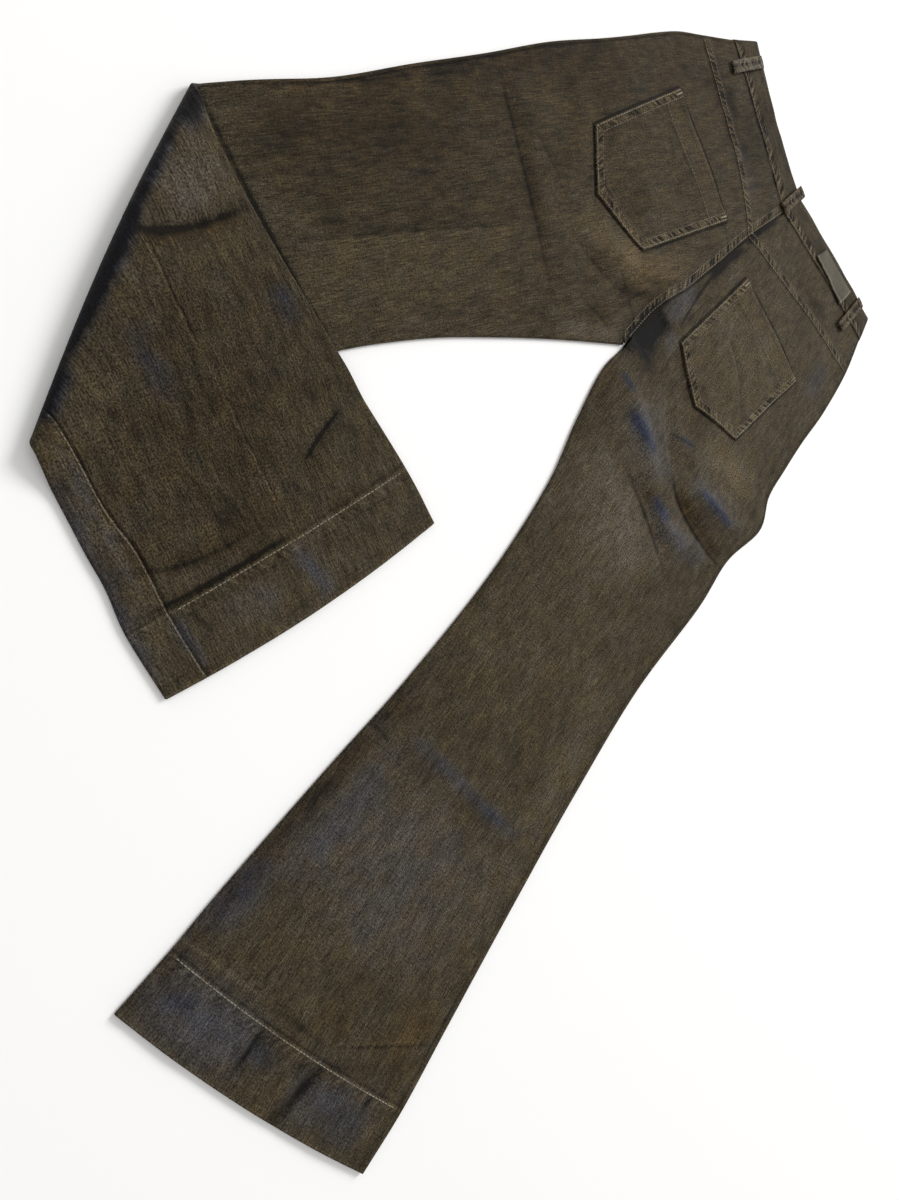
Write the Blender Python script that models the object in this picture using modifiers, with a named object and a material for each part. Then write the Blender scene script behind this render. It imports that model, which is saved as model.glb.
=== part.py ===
"""Bootcut jeans lying face down, the left lower leg folded up over itself.

X runs to the right of the laid garment, Y towards its waist, Z up. All lengths are in metres.
Each leg is a flattened tube of cloth. A point of its outer face has two parameters: row, which runs
from the waist (0) to the hem (15) and counts the rows of the leg's table, and round, which runs round
the tube:
    -2 to -1  under side, from the middle of the leg to the inner edge
    -1 to  0  round the inner edge, from below to above
     0 to  1  upper side, from the inner edge (or the seat seam) to the outer edge
     1 to  2  round the outer edge, from above to below
     2 to  3  under side, from the outer edge to the inner edge
The pieces are parts of these two tubes, cut at the seams and given a wall inwards.
"""

import math

import bmesh
import bpy
import numpy as np
from mathutils import Vector
from mathutils.bvhtree import BVHTree

COLLECTION = "bootcut_jeans"

# Driving sizes of the cloth
WALL = 0.0012  # one layer of denim
SEAM_GAP = 0.0003  # between neighbouring pieces
INSEAM_GAP = 0.0005  # wider, because this seam runs slanting round the fold
TRIM_GAP = 0.0004  # under what lies on a panel
LAID = 0.0044  # floor to the top of a leg's two layers
EDGE = LAID / 2  # radius of a leg's rounded edges
EDGE_FADE = 0.014  # the folds die out over this distance from a rounded edge
DEEPEST_TROUGH = -0.0014
DEEPEST_BAND_TROUGH = DEEPEST_TROUGH / 3  # over the front's waistband, which lies under the yokes
HEM_RISE = 0.0004  # the turned-up hem stands out by this much
INSEAM_WRAP = 0.025  # how far the back panel reaches round onto the front side
CROTCH_WRAP = 0.0032
CROTCH_SPREAD = 0.0012  # half the distance between the two legs' edges at the crotch
CROTCH_LINE = np.array([-0.70, 0.71])  # from the right leg to the left one, at the crotch

# Waistband, pockets, patch and loops
BAND_WALL = 0.0022
BAND_RISE = 0.0008  # how far the waistband stands above the yokes
BAND_DROOP = 0.0016  # of its free edge at the centre back
FRONT_DIP = (1.20, 0.71)  # rows by which the front's waist edge and band seam lie below the back's
POCKET_WALL = 0.0012
POCKET_HEM_WALL = 0.0020
POCKET_HEM_DEPTH = 0.029
PATCH_WALL = 0.0012
LOOP_WIDTH = 0.0115
LOOP_WALL = 0.0018

# The fold across the left leg: its line, and the shape of the bend
FOLD_TOP = np.array([-0.3545, 0.2922])
FOLD_BOTTOM = np.array([-0.4583, 0.0290])
FOLD_RADIUS = 0.0045  # at the ends of the fold, to the middle of the two layers
FOLD_BULGE = 0.0025  # more radius, and more bow, at its middle
FOLD_SLOPE = math.radians(14)  # of the folded leg as it comes down from the bend
FOLD_EASE = 0.030  # radius with which it levels out
FOLD_SETTLE = 0.05  # the bend's extra length is taken up over this distance
FLAP_GAP = 0.0005
FLAP_CLEAR = 0.16  # from here to the fold the upper side lies flat, under the folded leg
DRAPE_START = 0.012  # past the upper leg's inner edge
DRAPE = 0.035  # distance over which the folded leg drops from the upper leg to the floor

# Rows of the tables. The rows above the crotch share the seat seam as their inner end.
BAND_SEAM, YOKE_SEAM, CROTCH, HEM_STITCH, HEM = 1, 2, 6, 14, 15

# columns: x, y of the seat seam, from the waist edge down to the crotch
SEAT_SEAM = np.array(
    [
        (0.3300, 0.3790),
        (0.2980, 0.3546),
        (0.2405, 0.3147),
        (0.1967, 0.2794),
        (0.1473, 0.2427),
        (0.1041, 0.2141),
        (0.0585, 0.1695),
    ]
)

# columns: inner x, inner y, from the crotch down to the hem
INNER = {
    "left": np.array(
        [
            (0.0585, 0.1695),
            (0.0000, 0.1650),
            (-0.0800, 0.1550),
            (-0.1700, 0.1390),
            (-0.2700, 0.1080),
            (-0.4103, 0.0451),
            (-0.5202, 0.0022),
            (-0.5565, -0.0105),
            (-0.5890, -0.0250),
            (-0.6385, -0.0395),
        ]
    ),
    "right": np.array(
        [
            (0.0585, 0.1695),
            (0.0300, 0.1400),
            (-0.0010, 0.0890),
            (-0.0345, 0.0285),
            (-0.0980, -0.0535),
            (-0.1805, -0.1395),
            (-0.2490, -0.2030),
            (-0.3320, -0.2815),
            (-0.3695, -0.3190),
            (-0.4070, -0.3540),
        ]
    ),
}

# columns: outer x, outer y, bow of the row towards the waist, outseam's distance in from the edge
OUTER = {
    "left": np.array(
        [
            (0.2535, 0.5295, -0.0040, 0.0012),
            (0.2160, 0.5185, 0.0010, 0.0012),
            (0.1660, 0.5065, 0.0040, 0.0012),
            (0.1330, 0.4985, 0.0030, 0.0012),
            (0.1000, 0.4855, 0.0020, 0.0012),
            (0.0670, 0.4710, 0.0000, 0.0012),
            (0.0300, 0.4555, 0.0000, 0.0012),
            (-0.0340, 0.4300, 0.0000, 0.0014),
            (-0.1040, 0.3960, 0.0000, 0.0016),
            (-0.1750, 0.3635, 0.0000, 0.0018),
            (-0.2450, 0.3300, 0.0000, 0.0020),
            (-0.3090, 0.3070, 0.0000, 0.0020),
            (-0.4168, 0.2675, 0.0000, 0.0020),
            (-0.5450, 0.2405, 0.0000, 0.0020),
            (-0.6565, 0.2205, -0.0020, 0.0020),
            (-0.7075, 0.2072, -0.0070, 0.0020),
        ]
    ),
    "right": np.array(
        [
            (0.4600, 0.2645, 0.0020, 0.0012),
            (0.4425, 0.2360, 0.0020, 0.0012),
            (0.4140, 0.1900, 0.0000, 0.0012),
            (0.3720, 0.1400, 0.0000, 0.0012),
            (0.3335, 0.1025, 0.0000, 0.0012),
            (0.3025, 0.0690, 0.0000, 0.0012),
            (0.2755, 0.0375, 0.0000, 0.0012),
            (0.2600, 0.0000, 0.0000, 0.0014),
            (0.2075, -0.0345, 0.0000, 0.0018),
            (0.1625, -0.0845, 0.0000, 0.0022),
            (0.0755, -0.1645, 0.0000, 0.0028),
            (-0.0040, -0.2570, 0.0000, 0.0034),
            (-0.0670, -0.3360, 0.0000, 0.0040),
            (-0.1430, -0.4340, 0.0000, 0.0044),
            (-0.1845, -0.4880, -0.0050, 0.0044),
            (-0.2205, -0.5275, -0.0055, 0.0044),
        ]
    ),
}

# How many grid steps lie between two rows of the tables, from the waist down
STEPS = {
    "left": (1, 3, 3, 3, 3, 3, 3, 3, 3, 3, 2, 0, 3, 3, 2),
    "right": (1, 3, 3, 3, 3, 3, 4, 4, 4, 4, 3, 3, 3, 2, 2),
}
# The left leg's fold lies between this row and the next, at these parts of the way
FOLD_ROW = 11
FOLD_STEPS = (0.16, 0.32, 0.35, 0.38, 0.41, 0.44, 0.47, 0.50, 0.53, 0.57, 0.62, 0.70, 0.80, 0.90, 1.0)
CROTCH_STEP = 0.12  # a last row just above the crotch
UPPER_COLUMNS = 15
UNDER_COLUMNS = {"left": 9, "right": 6}
BAND_COLUMNS = 10
EDGE_COLUMNS = 4

# Broad swells, soft ridges (+) and troughs (-) of the upper side.
# columns: start x, y, middle x, y, end x, y, half width, height
UPPER_FOLDS = (
    # swell of the left seat, and of the right seat
    (0.060, 0.400, 0.110, 0.350, 0.185, 0.375, 0.060, 0.0045),
    (0.190, 0.140, 0.240, 0.190, 0.320, 0.215, 0.052, 0.0055),
    # right thigh, bunched below the seat
    (0.050, 0.120, 0.130, 0.045, 0.220, 0.015, 0.045, 0.0050),
    # valley along the seat seam, and the pit at the crotch
    (0.258, 0.326, 0.195, 0.276, 0.135, 0.198, 0.014, -0.0055),
    (0.115, 0.205, 0.092, 0.188, 0.072, 0.172, 0.016, -0.0050),
    # left seat below the pocket: mound, and the dip under it
    (0.040, 0.252, 0.090, 0.250, 0.140, 0.262, 0.018, 0.0045),
    (0.040, 0.214, 0.070, 0.213, 0.095, 0.216, 0.012, -0.0035),
    # right thigh: ridges that run down from the crotch
    (0.053, 0.139, 0.080, 0.085, 0.098, 0.020, 0.014, 0.0050),
    (0.098, 0.012, 0.125, -0.012, 0.172, -0.030, 0.013, 0.0040),
    (0.150, 0.040, 0.185, 0.014, 0.225, -0.004, 0.014, 0.0055),
    # right thigh: troughs between them
    (0.064, 0.042, 0.090, 0.010, 0.112, -0.040, 0.012, -0.0045),
    (0.122, 0.045, 0.148, 0.004, 0.194, -0.038, 0.012, -0.0055),
    (0.116, 0.135, 0.117, 0.085, 0.120, 0.048, 0.011, -0.0035),
    # cross wrinkle of the left thigh and the swell beside it
    (-0.088, 0.380, -0.062, 0.300, -0.025, 0.195, 0.011, -0.0014),
    (-0.064, 0.375, -0.040, 0.300, -0.005, 0.205, 0.016, 0.0018),
    # rolled edges of the right lower leg
    (-0.040, 0.012, -0.175, -0.146, -0.375, -0.342, 0.012, 0.0016),
    (0.150, -0.100, 0.010, -0.252, -0.185, -0.465, 0.010, 0.0010),
)

# The same for the folded lower leg, whose front side shows, at the places where they show
FLAP_FOLDS = (
    (-0.398, 0.172, -0.362, 0.182, -0.318, 0.210, 0.010, -0.0014),
    (-0.400, 0.200, -0.365, 0.210, -0.335, 0.236, 0.016, 0.0022),
    (-0.268, 0.030, -0.258, 0.050, -0.240, 0.074, 0.009, -0.0012),
    (-0.392, 0.165, -0.330, 0.062, -0.280, -0.027, 0.009, 0.0012),
    (-0.413, -0.050, -0.360, -0.046, -0.310, -0.022, 0.010, -0.0010),
)

# Back pockets: mouth start, side, bottom, side, mouth end, as x, y round the outline
POCKETS = {
    "left": ((0.1320, 0.4390), (0.0185, 0.3685), (0.0220, 0.3050), (0.0795, 0.2640), (0.2020, 0.3215)),
    "right": ((0.2350, 0.2690), (0.1340, 0.1840), (0.1515, 0.1215), (0.2155, 0.0940), (0.3150, 0.1690)),
}

# Belt loops: lower end and upper end, x, y
BELT_LOOPS = {
    "belt_loop_left": ((0.2120, 0.4860), (0.2590, 0.5070)),
    "belt_loop_centre": ((0.2950, 0.3575), (0.3290, 0.3850)),
    "belt_loop_right": ((0.3990, 0.2440), (0.4400, 0.2810)),
}
LOOP_ROWS = 12
LOOP_REACH = 0.004  # a point of a loop clears everything within this distance

# Corners of the patch on the waistband, x, y
PATCH = ((0.3560, 0.3180), (0.3750, 0.3300), (0.4200, 0.2890), (0.4005, 0.2715))

# columns: red, green, blue (linear), roughness
FINISHES = {
    "denim": (0.045, 0.034, 0.024, 0.85),
    "denim_trim": (0.060, 0.046, 0.032, 0.85),
    "patch": (0.120, 0.115, 0.090, 0.60),
}


# ---------------------------------------------------------------------------
# Curves, soft steps and folds


def curve_through(rows, at):
    """Catmull-Rom curve through a table's rows, read at fractional row numbers."""
    first, last = 2 * rows[0] - rows[1], 2 * rows[-1] - rows[-2]
    padded = np.concatenate([[first], rows, [last]])
    step = np.clip(np.floor(at).astype(int), 0, len(rows) - 2)
    t = (at - step)[..., None]
    before, start, end, after = (padded[step + k] for k in range(4))
    return 0.5 * (
        2 * start
        + (end - before) * t
        + (2 * before - 5 * start + 4 * end - after) * t**2
        + (3 * start - before - 3 * end + after) * t**3
    )


def soft_step(value):
    """0 below 0, 1 above 1, and a smooth rise between."""
    t = np.clip(value, 0.0, 1.0)
    return t * t * (3 - 2 * t)


def fold_heights(x, y, folds):
    """Sum of the folds at each point: each falls off as a bell from its curved line."""
    t = np.linspace(0, 1, 25)[:, None]
    total = np.zeros_like(x)
    for x0, y0, x1, y1, x2, y2, half_width, height in folds:
        # The middle point lies on the line, so the curve's handle is twice as far out.
        start, middle, end = np.array([(x0, y0), (x1, y1), (x2, y2)])
        handle = 2 * middle - (start + end) / 2
        line = (1 - t) ** 2 * start + 2 * t * (1 - t) * handle + t**2 * end
        away = (x[..., None] - line[:, 0]) ** 2 + (y[..., None] - line[:, 1]) ** 2
        total += height * np.exp(-away.min(axis=-1) / half_width**2)
    return total


# ---------------------------------------------------------------------------
# The tube of each leg


def inner_line(side, row):
    """Plan of the inner edge: the seat seam above the crotch, the leg's inner edge below it."""
    above = curve_through(SEAT_SEAM, np.minimum(row, CROTCH))
    below = curve_through(INNER[side], np.maximum(row - CROTCH, 0))
    line = np.where((row < CROTCH)[..., None], above, below)
    # the two legs part a little before the crotch, and the parting ends in the first row below it
    parting = soft_step(np.where(row < CROTCH, (row - CROTCH) / 0.4 + 1, 1 - (row - CROTCH) / 0.8))
    outward = CROTCH_LINE if side == "left" else -CROTCH_LINE
    return line + CROTCH_SPREAD * parting[..., None] * outward


def row_frame(side, row):
    """Inner point, unit vector across, width, bow vector and outseam distance of each row."""
    table = curve_through(OUTER[side], row)
    inner = inner_line(side, row)
    across = table[..., :2] - inner
    width = np.linalg.norm(across, axis=-1)
    across = across / width[..., None]
    turn = 1 if side == "left" else -1
    to_waist = np.stack([turn * across[..., 1], -turn * across[..., 0]], axis=-1)
    return inner, across, width, table[..., 2:3] * to_waist, table[..., 3]


def inner_inset(row):
    """The inner rounding starts at the crotch: above it the seat seam is a plain edge."""
    return np.where(row < CROTCH, 0.0, EDGE)


def inseam_wrap(row):
    """How far the back panel reaches round the inner edge, from the crotch down."""
    return CROTCH_WRAP + (INSEAM_WRAP - CROTCH_WRAP) * soft_step((row - CROTCH) / 2.0)


def outseam(side, row):
    """The value of round at the outseam, on the upper side near the outer edge."""
    _, _, width, _, distance = row_frame(side, row)
    return 1 - distance / (width - EDGE - inner_inset(row))


def beyond_fold(plan):
    """Distance past the fold line and place along it, with the line's two unit vectors and length."""
    along = FOLD_BOTTOM - FOLD_TOP
    length = np.linalg.norm(along)
    along = along / length
    outward = np.array([along[1], -along[0]])
    offset = plan - FOLD_TOP
    return offset @ outward, offset @ along, along, outward, length


def mirrored_in_fold(x, y):
    """Where a point past the fold line lies once the leg is folded, and how far past it is."""
    plan = np.stack([x, y], axis=-1)
    past, _, _, outward, _ = beyond_fold(plan)
    folded = plan - 2 * past[..., None] * outward
    return folded[..., 0], folded[..., 1], past


def hem_rise(row):
    return HEM_RISE * soft_step((row - HEM_STITCH) / 0.15)


def upper_height(side, row, x, y, from_inner, from_outer):
    """Height of the upper side: laid flat, with the folds fading out at the rounded edges."""
    inner_fade = np.where(row < CROTCH, 1.0, soft_step((from_inner - EDGE) / EDGE_FADE))
    fade = soft_step((from_outer - EDGE) / EDGE_FADE) * inner_fade
    relief = fold_heights(x, y, UPPER_FOLDS)
    if side == "left":
        _, _, past = mirrored_in_fold(x, y)
        fade = fade * soft_step(-(past + FLAP_CLEAR) / 0.05)
    else:
        relief = relief + hem_rise(row)
    deepest = np.where(row < YOKE_SEAM + 0.3, DEEPEST_BAND_TROUGH, DEEPEST_TROUGH)
    return LAID + np.maximum(relief * fade, deepest)


def under_height(side, row, x, y, from_inner, from_outer):
    """Height of the under side: the floor, and on the folded lower leg its creases, facing down."""
    if side == "right":
        return np.zeros_like(x)
    shown_x, shown_y, past = mirrored_in_fold(x, y)
    fade = soft_step((from_outer - EDGE) / EDGE_FADE) * soft_step((from_inner - EDGE) / EDGE_FADE)
    relief = fold_heights(shown_x, shown_y, FLAP_FOLDS) + hem_rise(row)
    return -np.maximum(relief, DEEPEST_TROUGH) * fade * soft_step(past / 0.03)


def tube(side, row, round_):
    """Outer face of a leg before it is folded: row and round_ are arrays of one shape."""
    inner, across, width, bow, _ = row_frame(side, row)
    inset = inner_inset(row)
    flat = width - EDGE - inset
    inner_turn = np.clip(round_ + 1, 0, 1) * math.pi - math.pi / 2
    outer_turn = math.pi / 2 - np.clip(round_ - 1, 0, 1) * math.pi
    stretches = [round_ < -1, round_ < 0, round_ <= 1, round_ <= 2]
    distance = np.select(
        stretches,
        [
            EDGE + (-1 - round_) * flat,
            EDGE - EDGE * np.cos(inner_turn),
            inset + round_ * flat,
            width - EDGE + EDGE * np.cos(outer_turn),
        ],
        width - EDGE - (round_ - 2) * flat,
    )
    share = distance / width
    plan = inner + across * distance[..., None] + 4 * (share * (1 - share))[..., None] * bow
    x, y = plan[..., 0], plan[..., 1]
    under = under_height(side, row, x, y, distance, width - distance)
    upper = upper_height(side, row, x, y, distance, width - distance)
    height = np.select(
        stretches, [under, EDGE + EDGE * np.sin(inner_turn), upper, EDGE + EDGE * np.sin(outer_turn)], under
    )
    return np.stack([x, y, height], axis=-1)


def fold_over(points):
    """Bends what lies past the fold line round it, lays it on the upper leg and drapes it off.

    The middle of the two layers follows an arc of a little more than half a turn, a straight slope
    down, and an arc that levels out. A point keeps its height over that middle line.
    """
    past, place, along, outward, length = beyond_fold(points[..., :2])
    swell = FOLD_BULGE * np.sin(math.pi * np.clip(place / length, 0, 1))
    radius = FOLD_RADIUS + swell
    start = swell - FOLD_RADIUS - EDGE
    sine, cosine = math.sin(FOLD_SLOPE), math.cos(FOLD_SLOPE)
    drop = radius * (1 + cosine) - LAID - FLAP_GAP
    slope = (drop - FOLD_EASE * (1 - cosine)) / sine
    ease = FOLD_EASE * FOLD_SLOPE
    turn = radius * (math.pi + FOLD_SLOPE)
    end_x = -(radius + FOLD_EASE) * sine - slope * cosine
    run = past - start
    run = run + (end_x + turn + slope + ease + 2 * start) * soft_step(run / FOLD_SETTLE)

    # how much of the run lies on the arc, on the slope, on the levelling arc and beyond
    angle = np.clip(run, 0, turn) / radius
    down = np.clip(run - turn, 0, slope)
    eased = np.clip(run - turn - slope, 0, ease) / FOLD_EASE
    level = np.maximum(run - turn - slope - ease, 0)
    tilt = angle - eased
    line_x = radius * np.sin(angle) - down * cosine - level
    line_x = line_x - FOLD_EASE * (sine - np.sin(FOLD_SLOPE - eased))
    line_z = radius * (1 - np.cos(angle)) - down * sine
    line_z = line_z - FOLD_EASE * (np.cos(FOLD_SLOPE - eased) - cosine)

    over = points[..., 2] - EDGE
    plan = FOLD_TOP + place[..., None] * along
    plan = plan + (start + line_x - over * np.sin(tilt))[..., None] * outward
    # past the upper leg's inner edge nothing holds the folded leg up
    edge = INNER["left"][4] - FOLD_BOTTOM
    edge = edge / np.linalg.norm(edge)
    off_leg = (plan - FOLD_BOTTOM) @ np.array([edge[1], -edge[0]])
    falls = soft_step((off_leg - DRAPE_START) / DRAPE) * soft_step(tilt / math.pi)
    height = EDGE + line_z + over * np.cos(tilt) - (LAID + FLAP_GAP) * falls
    folded = np.concatenate([plan, height[..., None]], axis=-1)
    return np.where((run > 0)[..., None], folded, points)


def cloth(side, row, round_):
    """Outer face of a leg as it lies."""
    row, round_ = np.broadcast_arrays(np.asarray(row, float), np.asarray(round_, float))
    points = tube(side, row, round_)
    return fold_over(points) if side == "left" else points


# ---------------------------------------------------------------------------
# Grids of points, and the meshes made from them


def row_numbers(side, first, last):
    """The grid's rows between two rows of the tables, finer where the left leg folds."""
    rows = [float(first)]
    for number in range(first, last):
        if side == "left" and number == FOLD_ROW:
            rows += [number + part for part in FOLD_STEPS]
        else:
            count = STEPS[side][number]
            rows += [number + (k + 1) / count for k in range(count)]
        if number == CROTCH - 1:
            rows.insert(-1, CROTCH - CROTCH_STEP)
    return np.array(rows)


def drawn_in(grid, sides, gap=SEAM_GAP):
    """Moves the named edges of a grid inwards by half a seam's gap."""
    grid = grid.copy()
    ends = {"top": (0, 1, 0), "bottom": (-1, -2, 0), "left": (0, 1, 1), "right": (-1, -2, 1)}
    for name in sides:
        edge, beside, axis = ends[name]
        lines = np.moveaxis(grid, axis, 0)
        step = lines[beside] - lines[edge]
        lines[edge] += gap / 2 * step / np.linalg.norm(step, axis=-1, keepdims=True)
    return grid


def faces_of(index):
    """Two triangles for each cell of a grid of point numbers."""
    a, b, c, d = index[:-1, :-1], index[:-1, 1:], index[1:, 1:], index[1:, :-1]
    return np.stack([a, b, c, a, c, d], axis=-1).reshape(-1, 3)


def numbered(grid, first=0):
    return first + np.arange(grid.shape[0] * grid.shape[1]).reshape(grid.shape[:2])


def facing_out(side, faces):
    """The right leg's rows run the other way round, so its faces are turned."""
    return faces if side == "left" else faces[:, ::-1]


def arc_columns(rows, first, last):
    return np.broadcast_to(np.linspace(first, last, EDGE_COLUMNS + 1), (len(rows), EDGE_COLUMNS + 1))


def back_panel(side):
    """The back panel: the upper side from the yoke to the hem, and its strip round the inner edge."""
    row = row_numbers(side, YOKE_SEAM, HEM)
    across = np.linspace(0, 1, UPPER_COLUMNS + 1)
    upper = cloth(side, row[:, None], across * outseam(side, row)[:, None])
    upper = drawn_in(upper, ("top", "right"))
    above = row < CROTCH
    upper[above, 0] = drawn_in(upper[above], ("left",))[:, 0]

    low = row[~above]
    _, _, width, _, _ = row_frame(side, low)
    reach = -1 - (inseam_wrap(low) - EDGE) / (width - 2 * EDGE)
    under = reach[:, None] + (-1 - reach[:, None]) * np.array([0.0, 0.5])
    strip = cloth(side, low[:, None], np.concatenate([under, arc_columns(low, -1, 0)], axis=1))
    strip = drawn_in(strip, ("left",), INSEAM_GAP)[:, :-1]

    # the strip's last column is the upper side's first one
    upper_index = numbered(upper)
    strip_index = np.concatenate([numbered(strip, upper_index.size), upper_index[~above, :1]], axis=1)
    points = np.concatenate([upper.reshape(-1, 3), strip.reshape(-1, 3)])
    faces = np.concatenate([faces_of(upper_index), faces_of(strip_index)])
    return points, facing_out(side, faces)


def front_dip(share):
    """How far the front's waist lies below the back's: 1 at the centre front, 0 at the sides."""
    return np.cos(math.pi / 2 * np.clip(share, 0, 1)) ** 2


def front_panel(side):
    """The front panel: from the outseam round the outer edge, and the under side."""
    row = row_numbers(side, BAND_SEAM, HEM)
    _, _, width, _, _ = row_frame(side, row)
    wrap = np.where(row < CROTCH, 0.0, inseam_wrap(row))
    inset = inner_inset(row)
    far = 3 - (wrap - inset) / (width - EDGE - inset)
    count = UNDER_COLUMNS[side]
    under = 2 + (far[:, None] - 2) * (np.arange(1, count + 1) / count)
    round_ = np.concatenate([outseam(side, row)[:, None], arc_columns(row, 1, 2), under], axis=1)
    # the waist dips at the centre front, and the rows down to the yoke's share the space left
    dip = FRONT_DIP[1] * front_dip(3 - np.clip(round_, 2, 3))
    grid = cloth(side, row[:, None] + dip * np.clip(YOKE_SEAM - row, 0, 1)[:, None], round_)
    grid = drawn_in(drawn_in(grid, ("top", "left")), ("right",), INSEAM_GAP)
    return grid.reshape(-1, 3), facing_out(side, faces_of(numbered(grid)))


def yoke(side):
    row = row_numbers(side, BAND_SEAM, YOKE_SEAM)
    across = np.linspace(0, 1, UPPER_COLUMNS + 1)
    grid = cloth(side, row[:, None], across * outseam(side, row)[:, None])
    grid = drawn_in(grid, ("top", "bottom", "left", "right"))
    return grid.reshape(-1, 3), facing_out(side, faces_of(numbered(grid)))


def band_run(side, row, share, under):
    """A flat run of the waistband, by row and by share of the way out from the centre."""
    inner, across, width, bow, _ = row_frame(side, row)
    part = share * (width - EDGE) / width
    plan = inner + across * (part * width)[..., None] + 4 * (part * (1 - part))[..., None] * bow
    droop = BAND_DROOP * (1 - row) * front_dip(share)
    height = np.zeros_like(part) if under else LAID + BAND_RISE - droop
    return np.concatenate([plan, height[..., None]], axis=-1)


def waistband():
    """A flattened ring: across the back, round one side, back under the front, round the other."""
    rows = np.array([0.0, 0.5, 1.0])
    half = (LAID + BAND_RISE) / 2
    turns = np.linspace(math.pi / 2, -math.pi / 2, EDGE_COLUMNS + 2)[1:-1, None, None]
    runs = {}
    for side in ("left", "right"):
        share, row = np.meshgrid(np.linspace(0, 1, BAND_COLUMNS + 1), rows)
        upper = band_run(side, row, share, False)
        # below, the same columns as the front panel that it meets
        share, row = np.meshgrid(np.linspace(0, 1, UNDER_COLUMNS[side] + 1), rows)
        edge_dip, seam_dip = (part * front_dip(share) for part in FRONT_DIP)
        under = band_run(side, edge_dip + row * (1 + seam_dip - edge_dip), share, True)
        _, across, _, _, _ = row_frame(side, rows)
        outward = np.concatenate([across, np.zeros((len(rows), 1))], axis=1)
        middle = (upper[:, -1] + under[:, -1]) / 2
        arc = middle + half * (np.cos(turns) * outward + np.sin(turns) * np.array([0, 0, 1]))
        runs[side] = upper, np.moveaxis(arc, 0, 1), under
    (left_up, left_arc, left_under), (right_up, right_arc, right_under) = runs["left"], runs["right"]
    across_back = [left_up[:, ::-1], right_up[:, 1:], right_arc]
    under_front = [right_under[:, ::-1], left_under[:, 1:], left_arc[:, ::-1]]
    ring = drawn_in(np.concatenate(across_back + under_front, axis=1), ("bottom",))
    index = numbered(ring)
    index = np.concatenate([index, index[:, :1]], axis=1)
    return ring.reshape(-1, 3), faces_of(index)[:, ::-1]


# ---------------------------------------------------------------------------
# Objects


def material_of(name):
    red, green, blue, roughness = FINISHES[name]
    material = bpy.data.materials.get(name) or bpy.data.materials.new(name)
    material.use_nodes = True
    shader = material.node_tree.nodes["Principled BSDF"]
    shader.inputs["Base Color"].default_value = (red, green, blue, 1.0)
    shader.inputs["Roughness"].default_value = roughness
    shader.inputs["Metallic"].default_value = 0.0
    return material


def wall_object(name, mesh, collection, finish, thickness, outwards=False):
    """An object whose wall grows from its open surface, inwards unless outwards is set."""
    obj = bpy.data.objects.new(name, mesh)
    collection.objects.link(obj)
    mesh.materials.append(material_of(finish))
    mesh.shade_smooth()
    wall = obj.modifiers.new("Wall", "SOLIDIFY")
    wall.thickness = thickness
    wall.offset = 1.0 if outwards else -1.0
    return obj


def grid_object(name, points, faces, collection, finish, thickness, outwards=False):
    mesh = bpy.data.meshes.new(name)
    mesh.from_pydata(points.tolist(), [], faces.tolist())
    return wall_object(name, mesh, collection, finish, thickness, outwards)


def cut(piece, point, normal, keep_all=False):
    """Cuts a bmesh with an upright plane, and drops what lies on the normal's side."""
    everything = piece.verts[:] + piece.edges[:] + piece.faces[:]
    bmesh.ops.bisect_plane(
        piece,
        geom=everything,
        plane_co=(*point, 0),
        plane_no=(*normal, 0),
        clear_outer=not keep_all,
        dist=1e-6,
    )


def laid_on(name, below, outline):
    """A mesh of the upward faces under a convex outline, raised by the gap."""
    piece = bmesh.new()
    piece.from_mesh(below.data)
    corners = np.array(outline)
    centre = corners.mean(axis=0)
    for start, end in zip(corners, np.roll(corners, -1, axis=0)):
        normal = np.array([end[1] - start[1], start[0] - end[0]])
        cut(piece, start, normal if normal @ (centre - start) < 0 else -normal)
    low = [face for face in piece.faces if face.calc_center_median().z < EDGE]
    bmesh.ops.delete(piece, geom=low, context="FACES")
    bmesh.ops.translate(piece, verts=piece.verts, vec=(0, 0, TRIM_GAP))
    mesh = bpy.data.meshes.new(name)
    return piece, mesh


def pocket(side, below, collection):
    """A back pocket, thicker along its mouth where it is folded over and hemmed."""
    name = f"{side}_back_pocket"
    outline = np.array(POCKETS[side])
    piece, mesh = laid_on(name, below, outline)
    mouth = outline[-1] - outline[0]
    inward = np.array([mouth[1], -mouth[0]]) / np.linalg.norm(mouth)
    inward = inward if inward @ (outline[2] - outline[0]) > 0 else -inward
    hem_line = outline[0] + inward * POCKET_HEM_DEPTH
    cut(piece, hem_line, inward, keep_all=True)
    piece.to_mesh(mesh)
    piece.free()
    obj = wall_object(name, mesh, collection, "denim_trim", POCKET_HEM_WALL, outwards=True)
    group = obj.vertex_groups.new(name="hem")
    for vertex in mesh.vertices:
        in_hem = (np.array(vertex.co.xy) - hem_line) @ inward < 1e-5
        group.add([vertex.index], 1.0 if in_hem else POCKET_WALL / POCKET_HEM_WALL, "REPLACE")
    obj.modifiers["Wall"].vertex_group = group.name


def patch(below, collection):
    piece, mesh = laid_on("patch", below, PATCH)
    piece.to_mesh(mesh)
    piece.free()
    wall_object("patch", mesh, collection, "patch", PATCH_WALL, outwards=True)


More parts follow.
